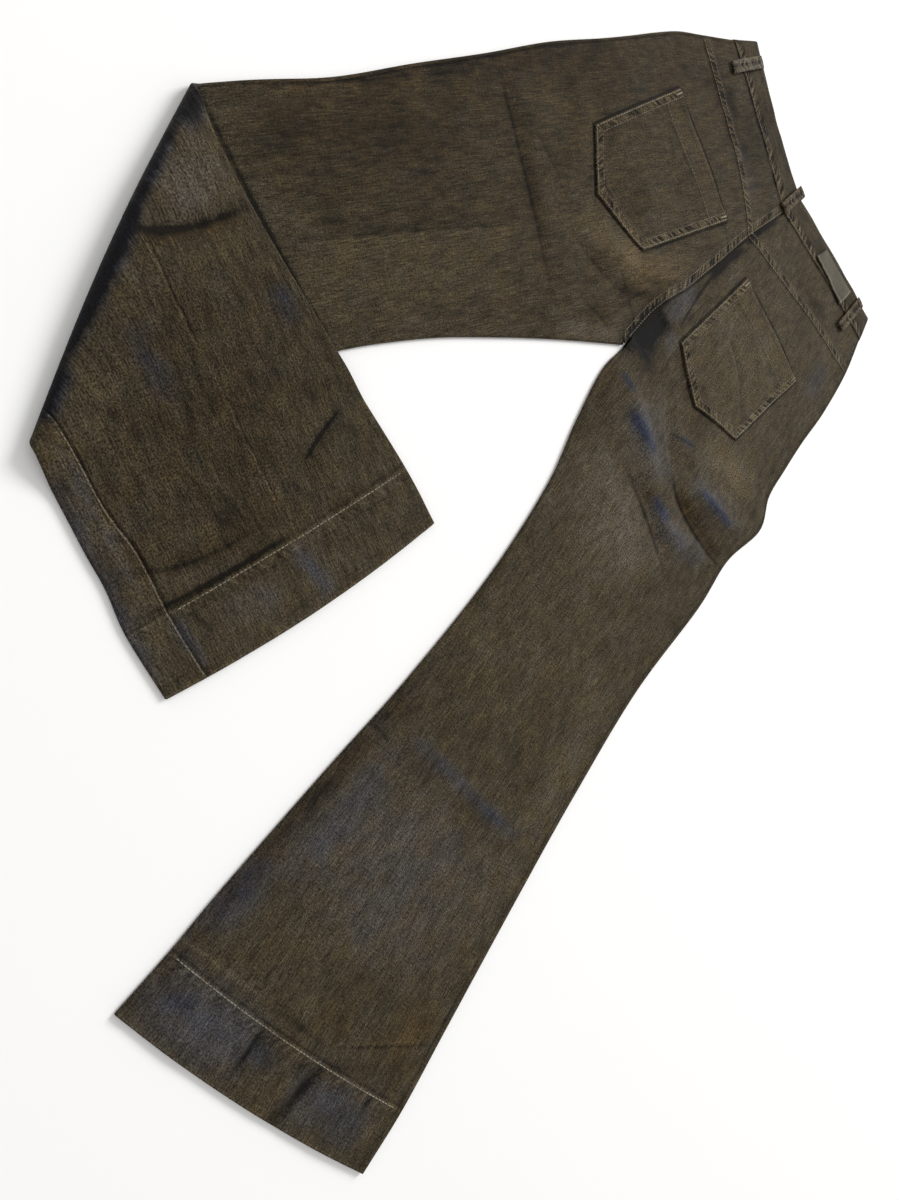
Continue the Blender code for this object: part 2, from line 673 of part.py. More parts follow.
def belt_loop(name, trees, collection):
    """A strap over the waistband: each of its rows clears the highest thing near it."""
    start, end = np.array(BELT_LOOPS[name])
    along = (end - start) / np.linalg.norm(end - start)
    across = np.array([-along[1], along[0]])
    places = start + (end - start) * np.linspace(0, 1, LOOP_ROWS)[:, None]
    offsets = [
        along * reach + across * side * LOOP_WIDTH / 2
        for reach in np.linspace(-LOOP_REACH, LOOP_REACH, 5)
        for side in np.linspace(-1, 1, 7)
    ]
    down = Vector((0, 0, -1))
    tops = []
    for place in places:
        hits = [tree.ray_cast(Vector((*(place + offset), 1)), down)[0] for tree in trees for offset in offsets]
        tops.append(max(hit.z for hit in hits if hit) + TRIM_GAP)
    plan = places[:, None] + across * (np.array([-0.5, -0.25, 0.25, 0.5]) * LOOP_WIDTH)[None, :, None]
    height = np.broadcast_to(np.array(tops)[:, None, None], (*plan.shape[:2], 1))
    grid = np.concatenate([plan, height], axis=-1)
    faces = faces_of(numbered(grid))[:, ::-1]
    grid_object(name, grid.reshape(-1, 3), faces, collection, "denim_trim", LOOP_WALL, outwards=True)


def build():
    for obj in list(bpy.data.objects):
        bpy.data.objects.remove(obj, do_unlink=True)
    collection = bpy.data.collections.new(COLLECTION)
    bpy.context.scene.collection.children.link(collection)

    made = {}
    for side in ("left", "right"):
        for kind, shape in (("front_panel", front_panel), ("back_panel", back_panel), ("yoke", yoke)):
            name = f"{side}_{kind}"
            made[name] = grid_object(name, *shape(side), collection, "denim", WALL)
    made["waistband"] = grid_object("waistband", *waistband(), collection, "denim_trim", BAND_WALL)
    for side in ("left", "right"):
        pocket(side, made[f"{side}_back_panel"], collection)
    patch(made["waistband"], collection)

    bpy.context.view_layer.update()
    graph = bpy.context.evaluated_depsgraph_get()
    under_loops = [obj for name, obj in made.items() if not name.endswith("back_panel")]
    trees = [BVHTree.FromObject(obj, graph) for obj in under_loops]
    for name in BELT_LOOPS:
        belt_loop(name, trees, collection)


build()
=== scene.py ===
"""Bootcut jeans laid face down on a pale floor, the left lower leg folded up over itself.

X runs to the right of the laid garment, Y towards its waist, Z up. All lengths are in metres.
Each leg is a flattened tube of cloth. A point of its outer face has two parameters: row, which runs
from the waist (0) to the hem (15) and counts the rows of the leg's table, and round, which runs round
the tube:
    -2 to -1  under side, from the middle of the leg to the inner edge
    -1 to  0  round the inner edge, from below to above
     0 to  1  upper side, from the inner edge (or the seat seam) to the outer edge
     1 to  2  round the outer edge, from above to below
     2 to  3  under side, from the outer edge to the inner edge
"""

import math

import bpy
import numpy as np
from bpy.props import FloatProperty, FloatVectorProperty, PointerProperty
from mathutils import Matrix


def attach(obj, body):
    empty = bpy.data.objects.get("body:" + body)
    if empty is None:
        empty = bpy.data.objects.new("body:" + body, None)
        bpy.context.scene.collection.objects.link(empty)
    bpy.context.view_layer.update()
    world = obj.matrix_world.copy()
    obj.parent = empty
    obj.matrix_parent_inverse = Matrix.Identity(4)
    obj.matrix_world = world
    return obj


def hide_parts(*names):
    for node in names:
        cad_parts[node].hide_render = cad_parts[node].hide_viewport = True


bl_info = {
    "name": "Bootcut jeans",
    "version": (1, 0, 0),
    "blender": (4, 5, 0),
    "location": "3D View > Sidebar > Jeans",
    "description": "Denim panels, trims and topstitching of a pair of jeans laid face down",
    "category": "Add Mesh",
}

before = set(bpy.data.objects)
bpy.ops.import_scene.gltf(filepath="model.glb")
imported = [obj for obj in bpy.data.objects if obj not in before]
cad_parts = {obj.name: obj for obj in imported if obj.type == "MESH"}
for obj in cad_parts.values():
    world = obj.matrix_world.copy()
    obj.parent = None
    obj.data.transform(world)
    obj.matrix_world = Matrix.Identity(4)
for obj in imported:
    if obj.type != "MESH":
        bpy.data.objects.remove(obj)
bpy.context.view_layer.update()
SIDES = ("left", "right")

# ---------------------------------------------------------------------------
# The laid form

LAID = 0.0044  # floor to the top of a leg's two layers
EDGE = LAID / 2  # radius of a leg's rounded edges
EDGE_FADE = 0.014  # the folds die out over this distance from a rounded edge
DEEPEST_TROUGH = 0.0018
SEAM_GAP = 0.0003
INSEAM_GAP = 0.0005
HEM_RISE = 0.0006  # the turned-up hem stands out by this much
HEM_DEPTH = 0.052
BAND_WIDTH = 0.0105  # doubled cloth along the yoke seams and the seat seam
SEAM_ROWS = (0.0016, 0.0088)  # stitch rows on it, from its edge
LAP_RISE = 0.0007
INSEAM_WRAP = 0.025  # how far the back panel reaches round onto the front side
CROTCH_WRAP = 0.0032
FLAP_WRAP = 0.007  # and this much farther on the folded lower leg
CROTCH_SPREAD = 0.0012
CROTCH_LINE = np.array([-0.70, 0.71])  # from the right leg to the left one, at the crotch

BAND_DEPTH = 0.035
BAND_RISE = 0.0008  # how far the waistband stands above the yokes
WAIST_LINE = (0.6146, -0.7887)  # direction along the laid waist
WAIST_WARD = (0.7887, 0.6146)  # direction from the crotch to the waist
MOUTH_BOW = 0.004  # the pocket mouths sag inwards by this much at their middle
BAND_WALL = 0.0022
BAND_DROOP = 0.0016
FRONT_DIP = (1.20, 0.71)  # rows by which the front's waist edge and band seam lie below the back's
POCKET_HEM_DEPTH = 0.029
TRIM_LIFT = 0.0016  # outer face of what lies on a panel, over the panel
POCKET_WALL = 0.0014
PATCH_WALL = 0.0012
LOOP_WIDTH = 0.0115
LOOP_WALL = 0.0015
LOOP_ROW = 0.0020  # stitch rows, in from a loop's edges
BAND_ROWS = (0.0024, 0.0022)  # stitch rows, from the waistband's free edge and from its lower seam
POCKET_ROWS = (0.0017, 0.0085)  # stitch rows, from a pocket's sewn edges
GROOVE = 0.0006  # half width of the groove that a stitch row makes
EDGE_ROW = 0.0016  # stitch row beside a hem's step, and on the inseam
PATCH_SIZE = (0.060, 0.022)
PATCH_LIFT = 0.0015  # top of the patch over the waistband
TACK_WIDTH = 0.0016
TACK_STEP = 0.0006  # from one cross stitch of a bar tack to the next

FOLD_TOP = np.array([-0.3545, 0.2922])
FOLD_BOTTOM = np.array([-0.4583, 0.0290])
FOLD_RADIUS = 0.0045
FOLD_BULGE = 0.0025
FOLD_SLOPE = math.radians(14)
FOLD_EASE = 0.030
FOLD_SETTLE = 0.05
FLAP_GAP = 0.0005
FLAP_CLEAR = 0.16
DRAPE_START = 0.012
DRAPE = 0.035

BAND_SEAM, YOKE_SEAM, CROTCH, FOLD_ROW, HEM_STITCH, HEM = 1, 2, 6, 11, 14, 15

# columns: x, y of the seat seam, from the waist edge down to the crotch
SEAT_SEAM = np.array(
    [
        (0.33, 0.379), (0.298, 0.3546), (0.2405, 0.3147), (0.1967, 0.2794),
        (0.1473, 0.2427), (0.1041, 0.2141), (0.0585, 0.1695),
    ]
)

# columns: inner x, inner y, from the crotch down to the hem
INNER = {
    "left": np.array(
        [
            (0.0585, 0.1695), (0, 0.165), (-0.08, 0.155), (-0.17, 0.139), (-0.27, 0.108),
            (-0.4103, 0.0451), (-0.5202, 0.0022), (-0.5565, -0.0105), (-0.589, -0.025), (-0.6385, -0.0395),
        ]
    ),
    "right": np.array(
        [
            (0.0585, 0.1695), (0.03, 0.14), (-0.001, 0.089), (-0.0345, 0.0285), (-0.098, -0.0535),
            (-0.1805, -0.1395), (-0.249, -0.203), (-0.332, -0.2815), (-0.3695, -0.319), (-0.407, -0.354),
        ]
    ),
}

# columns: outer x, outer y, bow of the row towards the waist, outseam's distance in from the edge
OUTER = {
    "left": np.array(
        [
            (0.2535, 0.5295, -0.004, 0.0012), (0.216, 0.5185, 0.001, 0.0012), (0.166, 0.5065, 0.004, 0.0012),
            (0.133, 0.4985, 0.003, 0.0012), (0.1, 0.4855, 0.002, 0.0012), (0.067, 0.471, 0, 0.0012),
            (0.03, 0.4555, 0, 0.0012), (-0.034, 0.43, 0, 0.0014), (-0.104, 0.396, 0, 0.0016),
            (-0.175, 0.3635, 0, 0.0018), (-0.245, 0.33, 0, 0.002), (-0.309, 0.307, 0, 0.002),
            (-0.4168, 0.2675, 0, 0.002), (-0.545, 0.2405, 0, 0.002), (-0.6565, 0.2205, -0.002, 0.002),
            (-0.7075, 0.2072, -0.007, 0.002),
        ]
    ),
    "right": np.array(
        [
            (0.46, 0.2645, 0.002, 0.0012), (0.4425, 0.236, 0.002, 0.0012), (0.414, 0.19, 0, 0.0012),
            (0.372, 0.14, 0, 0.0012), (0.3335, 0.1025, 0, 0.0012), (0.3025, 0.069, 0, 0.0012),
            (0.2755, 0.0375, 0, 0.0012), (0.26, 0, 0, 0.0014), (0.2075, -0.0345, 0, 0.0018),
            (0.1625, -0.0845, 0, 0.0022), (0.0755, -0.1645, 0, 0.0028), (-0.004, -0.257, 0, 0.0034),
            (-0.067, -0.336, 0, 0.004), (-0.143, -0.434, 0, 0.0044), (-0.1845, -0.488, -0.005, 0.0044),
            (-0.2205, -0.5275, -0.0055, 0.0044),
        ]
    ),
}

# Direction of the warp in the unfolded cloth, as the angle of the leg's length
GRAIN = {"left": math.radians(200), "right": math.radians(229)}

# Steps of each panel's grid, as multiples of the cloth's own: wide where the panel is hidden.
# columns: last row of the stretch, step
ROW_STEPS = {
    ("left", "yoke"): ((2.0, 0.6),),
    ("right", "yoke"): ((2.0, 0.6),),
    ("left", "back"): ((9.6, 1.18), (11.1, 3.0), (15.0, 2.3)),
    ("left", "front"): ((11.1, 3.4), (15.0, 0.95)),
    ("right", "back"): ((9.0, 1.24), (13.2, 1.62), (15.0, 1.28)),
    ("right", "front"): ((15.0, 3.2),),
}

# ---------------------------------------------------------------------------
# Folds, placed one by one. Each follows a curve from its start through its middle to its end.
# columns: start x, y, middle x, y, end x, y, half width, height

SWELLS = (
    # swell of the left seat, and of the right seat
    (0.060, 0.400, 0.110, 0.350, 0.185, 0.375, 0.060, 0.0045),
    (0.190, 0.140, 0.240, 0.190, 0.320, 0.215, 0.052, 0.0055),
    # right thigh, bunched below the seat
    (0.050, 0.120, 0.130, 0.045, 0.220, 0.015, 0.045, 0.0050),
    # rolled edges of the right lower leg
    (-0.040, 0.012, -0.175, -0.146, -0.375, -0.342, 0.012, 0.0016),
    (0.150, -0.100, 0.010, -0.252, -0.185, -0.465, 0.010, 0.0010),
    # left seat below the pocket, and left thigh
    (0.040, 0.252, 0.090, 0.250, 0.140, 0.262, 0.018, 0.0045),
    (-0.064, 0.375, -0.040, 0.300, -0.005, 0.205, 0.016, 0.0018),
)

CREASES = (
    # valley along the seat seam, and the pit at the crotch
    (0.258, 0.326, 0.195, 0.276, 0.135, 0.198, 0.011, -0.0060),
    (0.115, 0.205, 0.092, 0.188, 0.072, 0.172, 0.013, -0.0060),
    (0.040, 0.214, 0.070, 0.213, 0.095, 0.216, 0.011, -0.0040),
    # right thigh: ridges that run down from the crotch
    (0.053, 0.139, 0.080, 0.085, 0.098, 0.020, 0.011, 0.0050),
    (0.098, 0.012, 0.125, -0.012, 0.172, -0.030, 0.011, 0.0042),
    (0.150, 0.040, 0.185, 0.014, 0.225, -0.004, 0.011, 0.0055),
    (0.125, 0.095, 0.145, 0.070, 0.160, 0.045, 0.009, 0.0020),
    # right thigh: troughs between them
    (0.064, 0.042, 0.090, 0.010, 0.112, -0.040, 0.008, -0.0050),
    (0.122, 0.045, 0.148, 0.004, 0.196, -0.040, 0.008, -0.0062),
    (0.116, 0.135, 0.117, 0.085, 0.120, 0.048, 0.008, -0.0038),
    (0.020, 0.090, 0.045, 0.055, 0.070, 0.000, 0.009, -0.0016),
    (0.185, 0.050, 0.215, 0.030, 0.245, 0.012, 0.007, -0.0020),
    # right seat: slack below and beside the pocket
    (0.120, 0.180, 0.135, 0.150, 0.140, 0.115, 0.008, -0.0016),
    (0.2016, 0.197, 0.2156, 0.164, 0.223, 0.1075, 0.004, -0.0011),
    (0.235, 0.215, 0.252, 0.170, 0.250, 0.130, 0.007, 0.0010),
    (0.330, 0.140, 0.345, 0.160, 0.370, 0.180, 0.008, -0.0012),
    # left thigh: cross wrinkles
    (-0.0875, 0.380, -0.0625, 0.310, -0.030, 0.200, 0.006, -0.0017),
    (-0.058, 0.352, -0.0375, 0.331, -0.022, 0.310, 0.005, -0.0010),
    (-0.002, 0.264, 0.018, 0.243, 0.046, 0.224, 0.006, -0.0013),
    (0.000, 0.202, 0.022, 0.196, 0.040, 0.178, 0.006, -0.0012),
    (0.052, 0.232, 0.064, 0.216, 0.070, 0.188, 0.006, -0.0016),
    (0.090, 0.240, 0.104, 0.228, 0.116, 0.222, 0.006, -0.0012),
    (-0.012, 0.420, 0.004, 0.380, 0.000, 0.340, 0.007, 0.0007),
    (0.060, 0.452, 0.072, 0.430, 0.068, 0.400, 0.005, -0.0006),
    (-0.130, 0.350, -0.120, 0.310, -0.124, 0.270, 0.009, 0.0006),
    (-0.220, 0.300, -0.205, 0.260, -0.210, 0.225, 0.008, -0.0006),
    # left pocket: two slack lines across it
    (0.110, 0.400, 0.120, 0.350, 0.140, 0.300, 0.006, -0.0008),
    (0.040, 0.330, 0.065, 0.320, 0.085, 0.330, 0.010, 0.0009),
    # yokes
    (0.205, 0.470, 0.222, 0.440, 0.232, 0.400, 0.008, 0.0008),
    (0.270, 0.360, 0.262, 0.345, 0.255, 0.335, 0.006, -0.0012),
    (0.330, 0.290, 0.345, 0.262, 0.360, 0.240, 0.008, -0.0009),
    # right lower leg
    (-0.239, -0.421, -0.200, -0.433, -0.158, -0.442, 0.005, -0.0012),
    (-0.299, -0.3875, -0.312, -0.403, -0.331, -0.423, 0.0045, -0.0018),
    (-0.256, -0.432, -0.273, -0.446, -0.294, -0.460, 0.005, -0.0018),
    (-0.214, -0.467, -0.221, -0.475, -0.228, -0.483, 0.004, -0.0008),
    (-0.183, -0.180, -0.135, -0.228, -0.060, -0.293, 0.010, 0.0013),
    (-0.215, -0.172, -0.205, -0.180, -0.198, -0.190, 0.005, -0.0009),
    (-0.060, -0.080, -0.045, -0.110, -0.030, -0.140, 0.010, -0.0006),
    (0.040, -0.060, 0.070, -0.080, 0.110, -0.095, 0.010, 0.0007),
)

# The same for the folded lower leg, whose front side shows, at the places where they show
FLAP_SWELLS = ((-0.400, 0.200, -0.365, 0.210, -0.335, 0.236, 0.016, 0.0022),)

FLAP_CREASES = (
    (-0.400, 0.172, -0.362, 0.184, -0.312, 0.217, 0.005, -0.0022),
    (-0.404, 0.184, -0.362, 0.195, -0.318, 0.224, 0.007, 0.0012),
    (-0.268, 0.030, -0.257, 0.051, -0.238, 0.076, 0.005, -0.0017),
    (-0.258, 0.022, -0.246, 0.046, -0.228, 0.068, 0.006, 0.0009),
    (-0.413, -0.052, -0.360, -0.048, -0.308, -0.022, 0.007, -0.0012),
    (-0.357, -0.080, -0.350, -0.089, -0.340, -0.098, 0.005, -0.0014),
    (-0.290, -0.042, -0.293, -0.048, -0.292, -0.056, 0.004, -0.0010),
    (-0.200, 0.047, -0.208, 0.040, -0.214, 0.028, 0.006, 0.0010),
    (-0.330, 0.150, -0.315, 0.130, -0.310, 0.100, 0.010, 0.0006),
    (-0.400, 0.020, -0.385, 0.000, -0.378, -0.030, 0.009, 0.0006),
)

# Lines where the cloth was pressed sharp: the sides slope away over the half width
# columns: start x, y, middle x, y, end x, y, half width, height
PRESSED = (
    (-0.290, 0.190, -0.150, 0.232, -0.020, 0.272, 0.030, 0.0011),
    (-0.299, -0.3875, -0.235, -0.330, -0.172, -0.269, 0.014, 0.0008),
    (0.080, -0.120, 0.000, -0.190, -0.080, -0.285, 0.030, 0.0008),
)
FLAP_PRESSED = ((-0.397, 0.178, -0.337, 0.073, -0.245, -0.068, 0.016, 0.0012),)

# ---------------------------------------------------------------------------
# Worn, blue and warm places, with painted light among them: darker tone where shade falls in pits, valleys
# and on edges turned from the light, and a blue cast that is partly a painted sheen and, at its deepest,
# painted shade.
# columns: start x, y, middle x, y, end x, y, half width, tone, blue, warm, wear

MARKS = (
    # left leg, browner and darker than the right one, most of all towards the waist
    (0.230, 0.480, 0.060, 0.440, -0.360, 0.280, 0.100, -0.23, 0, 0.38, -0.26),
    (0.190, 0.320, 0.000, 0.240, -0.300, 0.180, 0.070, -0.10, 0, 0.20, -0.10),
    (0.060, 0.470, -0.060, 0.420, -0.260, 0.340, 0.036, -0.30, 0, 0.20, 0),
    (0.230, 0.470, 0.245, 0.420, 0.270, 0.350, 0.024, -0.52, 0, 0.32, 0),
    (0.185, 0.485, 0.208, 0.432, 0.235, 0.370, 0.018, -0.36, 0, 0.30, 0),
    (-0.330, 0.245, -0.250, 0.285, -0.110, 0.330, 0.032, -0.36, 0, 0.30, -0.20),
    (0.255, 0.500, 0.290, 0.430, 0.335, 0.370, 0.014, -0.26, 0, 0.14, 0),
    (0.345, 0.350, 0.385, 0.300, 0.430, 0.250, 0.016, -0.24, 0, 0.14, 0),
    (0.300, 0.330, 0.330, 0.280, 0.380, 0.215, 0.016, -0.12, 0, 0.06, 0),
    (0.210, 0.400, 0.232, 0.385, 0.250, 0.350, 0.012, 0.10, 0.25, 0, 0),
    # left thigh: long stretches on both sides of its pressed line, painted shade on one side and painted
    # light on the other
    (-0.300, 0.230, -0.200, 0.255, -0.080, 0.290, 0.022, -0.15, 0, 0.16, 0),
    (-0.250, 0.170, -0.150, 0.195, -0.040, 0.215, 0.022, 0.16, 0, 0.05, 0.05),
    (-0.060, 0.395, -0.010, 0.375, 0.030, 0.340, 0.030, 0.12, 0, 0.15, 0.05),
    (-0.330, 0.290, -0.230, 0.320, -0.120, 0.365, 0.012, 0.12, 0, 0.35, 0.05),
    (-0.080, 0.372, -0.062, 0.310, -0.030, 0.205, 0.010, -0.20, 0, 0.10, 0),
    (-0.030, 0.170, 0.015, 0.176, 0.056, 0.180, 0.009, 0.55, 0.20, 0, 0.25),
    # left seat: warm and lighter on the puff below the pocket, a painted highlight, and green-brown with
    # painted shade towards the crotch
    (-0.010, 0.290, 0.050, 0.262, 0.080, 0.255, 0.018, 0.60, 0, 0.10, 0.15),
    (0.046, 0.243, 0.090, 0.248, 0.150, 0.262, 0.016, 0.62, 0, 0.50, 0.20),
    (0.050, 0.226, 0.075, 0.222, 0.105, 0.226, 0.007, -0.36, 0, 0.20, 0),
    (0.068, 0.182, 0.090, 0.203, 0.118, 0.226, 0.009, -0.80, 0, 0.15, 0),
    (0.000, 0.195, 0.025, 0.196, 0.045, 0.190, 0.010, -0.25, 0, 0.15, 0),
    # painted shade in the seat seam valley and the crotch pit, and blue-grey beside the valley
    (0.276, 0.332, 0.258, 0.322, 0.236, 0.303, 0.006, -0.45, 0, 0.20, 0),
    (0.238, 0.300, 0.206, 0.281, 0.182, 0.254, 0.008, -0.60, 0.10, 0.10, 0),
    (0.166, 0.246, 0.136, 0.222, 0.114, 0.200, 0.011, 0.20, 0.60, 0, 0.15),
    (0.122, 0.204, 0.092, 0.187, 0.048, 0.162, 0.0095, -1.40, 0.55, 0, 0),
    (0.100, 0.190, 0.091, 0.174, 0.078, 0.158, 0.0095, -0.90, 0.50, 0, 0),
    (0.090, 0.165, 0.080, 0.155, 0.066, 0.146, 0.012, -0.35, 0.10, 0.15, 0),
    (0.124, 0.196, 0.122, 0.182, 0.114, 0.166, 0.006, 0.30, 0.40, 0, 0.10),
    # right thigh: blue on the slopes away from the light, blue-grey round them
    (0.053, 0.143, 0.058, 0.134, 0.067, 0.122, 0.0042, -0.55, 0.95, 0, 0),
    (0.057, 0.106, 0.074, 0.090, 0.094, 0.066, 0.0062, -0.58, 0.90, 0, 0),
    (0.060, 0.125, 0.088, 0.080, 0.112, 0.035, 0.0200, 0.34, 0.52, 0, 0.20),
    (0.094, 0.030, 0.103, 0.017, 0.114, 0.002, 0.0050, -0.48, 0.95, 0, 0),
    (0.100, 0.020, 0.128, -0.012, 0.176, -0.034, 0.0150, 0.30, 0.55, 0, 0.22),
    (0.158, 0.038, 0.178, 0.019, 0.204, 0.000, 0.0038, -0.50, 0.95, 0, 0),
    (0.140, 0.050, 0.175, 0.028, 0.220, -0.010, 0.0140, 0.24, 0.45, 0, 0.20),
    (0.128, 0.087, 0.140, 0.084, 0.153, 0.080, 0.0035, -0.35, 0.60, 0, 0),
    # right thigh: pale olive between the folds
    (0.020, 0.085, 0.060, 0.005, 0.085, -0.060, 0.044, 0.58, 0.16, -0.15, 0.34),
    (0.105, 0.140, 0.120, 0.100, 0.150, 0.075, 0.022, 0.34, 0.16, -0.10, 0.18),
    (0.160, 0.090, 0.205, 0.062, 0.250, 0.040, 0.030, 0.60, 0.06, 0.06, 0.70),
    (0.060, 0.020, -0.040, -0.080, -0.120, -0.170, 0.060, 0.10, 0, 0, 0.16),
    (0.126, 0.036, 0.146, 0.008, 0.185, -0.026, 0.0055, -0.20, 0, 0.90, 0),
    (0.080, 0.020, 0.094, -0.002, 0.106, -0.034, 0.0070, -0.22, 0, 0.20, 0),
    # right seat, paler than the rest
    (0.150, 0.150, 0.240, 0.180, 0.330, 0.210, 0.060, 0.24, 0, 0, 0.22),
    (0.335, 0.150, 0.355, 0.175, 0.375, 0.195, 0.016, 0.08, 0.40, 0, 0),
    (0.222, 0.292, 0.214, 0.274, 0.196, 0.250, 0.007, 0.22, 0.15, 0.10, 0.10),
    # knee: blue stripe along the ridge, a painted sheen, and the slightly darker stretch above it
    (-0.183, -0.180, -0.130, -0.230, -0.062, -0.293, 0.0070, -0.10, 0.62, 0, 0),
    (-0.110, -0.250, -0.092, -0.264, -0.078, -0.278, 0.0050, -0.14, 0.30, 0, 0),
    (-0.140, -0.120, -0.080, -0.170, 0.000, -0.215, 0.030, -0.04, 0, 0.20, 0),
    (0.060, -0.060, 0.000, -0.120, -0.060, -0.200, 0.050, 0.10, 0, 0.05, 0.10),
    # lower leg, greyer with a painted blue-grey sheen, with warm places at the outer side and a blue one by
    # the hem
    (-0.130, -0.240, -0.190, -0.300, -0.240, -0.360, 0.070, 0.27, 0.32, 0, 0.26),
    (0.060, -0.130, -0.040, -0.260, -0.140, -0.380, 0.022, 0.32, 0.06, 0, 0.12),
    (-0.190, -0.190, -0.240, -0.245, -0.290, -0.290, 0.016, 0.02, 0.45, 0, 0.05),
    (-0.160, -0.400, -0.180, -0.430, -0.200, -0.460, 0.020, -0.02, 0, 0.85, 0),
    (-0.295, -0.265, -0.322, -0.290, -0.352, -0.312, 0.014, -0.08, 0.75, 0, 0),
    (-0.258, -0.385, -0.245, -0.400, -0.245, -0.418, 0.014, -0.05, 0, 0.70, 0),
    # hem of the right leg, navy at its inner half, and grey-blue below the outer half, a painted sheen
    (-0.395, -0.332, -0.350, -0.372, -0.300, -0.420, 0.024, 0.12, 0.68, 0, 0.15),
    (-0.378, -0.342, -0.366, -0.352, -0.352, -0.366, 0.008, -0.35, 0.25, 0, 0),
    (-0.320, -0.400, -0.306, -0.410, -0.292, -0.424, 0.008, -0.22, 0.30, 0, 0),
    (-0.290, -0.435, -0.250, -0.465, -0.215, -0.500, 0.020, -0.08, 0.62, 0, 0.15),
    (-0.256, -0.430, -0.280, -0.450, -0.312, -0.470, 0.006, -0.35, 0, 0.50, 0),
    (-0.245, -0.425, -0.250, -0.435, -0.256, -0.444, 0.006, -0.25, 0, 0.50, 0),
    # rounded inner edge of the right leg, in painted shade as it turns away from the light
    (0.040, 0.160, -0.060, 0.000, -0.130, -0.095, 0.007, -0.22, 0, 0.35, 0),
    (-0.150, -0.118, -0.270, -0.232, -0.400, -0.352, 0.009, -0.45, 0.20, 0.50, 0),
)

FLAP_MARKS = (
    # rounded fold, in painted shade as it turns away from the light: near-black navy, widest in its middle
    # third
    (-0.351, 0.296, -0.4085, 0.160, -0.461, 0.026, 0.0045, -1.10, 1.00, 0, 0),
    (-0.392, 0.190, -0.412, 0.148, -0.434, 0.095, 0.0075, -0.90, 0.80, 0, 0),
    (-0.345, 0.288, -0.353, 0.272, -0.364, 0.248, 0.0075, -1.00, 0.60, 0, 0),
    (-0.436, 0.075, -0.446, 0.055, -0.452, 0.036, 0.0065, -0.70, 0.70, 0, 0),
    # the flap as a whole is darker than the leg beneath it
    (-0.350, 0.180, -0.340, 0.050, -0.320, -0.060, 0.090, -0.36, 0, 0.34, 0.45),
    # cross crease, brown with painted shade, and the greyer cloth above it
    (-0.398, 0.168, -0.362, 0.179, -0.312, 0.206, 0.0050, -0.20, 0, 0.95, 0),
    (-0.382, 0.195, -0.360, 0.214, -0.338, 0.240, 0.0200, 0.20, 0.24, -0.20, 0.30),
    # blue patches
    (-0.402, 0.112, -0.388, 0.090, -0.370, 0.058, 0.009, -0.04, 0.55, 0, 0),
    (-0.295, 0.160, -0.288, 0.145, -0.280, 0.128, 0.008, -0.18, 0.70, 0, 0),
    (-0.283, -0.030, -0.264, -0.052, -0.247, -0.072, 0.007, 0.20, 0.70, 0, 0.10),
    (-0.330, -0.070, -0.310, -0.075, -0.280, -0.065, 0.014, 0.25, 0.25, 0, 0.10),
    (-0.372, -0.083, -0.355, -0.108, -0.345, -0.125, 0.005, -0.05, 0.60, 0, 0),
    # inseam side, shaded and blue at the edge, pale beside the seam
    (-0.452, 0.014, -0.418, -0.064, -0.378, -0.142, 0.009, -0.22, 0.75, 0.05, 0),
    (-0.446, 0.034, -0.420, -0.016, -0.385, -0.081, 0.005, 0.36, 0.30, 0, 0.20),
    # shaded stretches above the hem
    (-0.413, -0.056, -0.360, -0.050, -0.308, -0.022, 0.006, -0.28, 0, 0.35, 0),
    (-0.392, -0.088, -0.340, -0.062, -0.285, -0.026, 0.005, -0.40, 0, 0.25, 0),
    (-0.270, 0.030, -0.258, 0.050, -0.242, 0.072, 0.005, -0.35, 0, 0.20, 0),
)
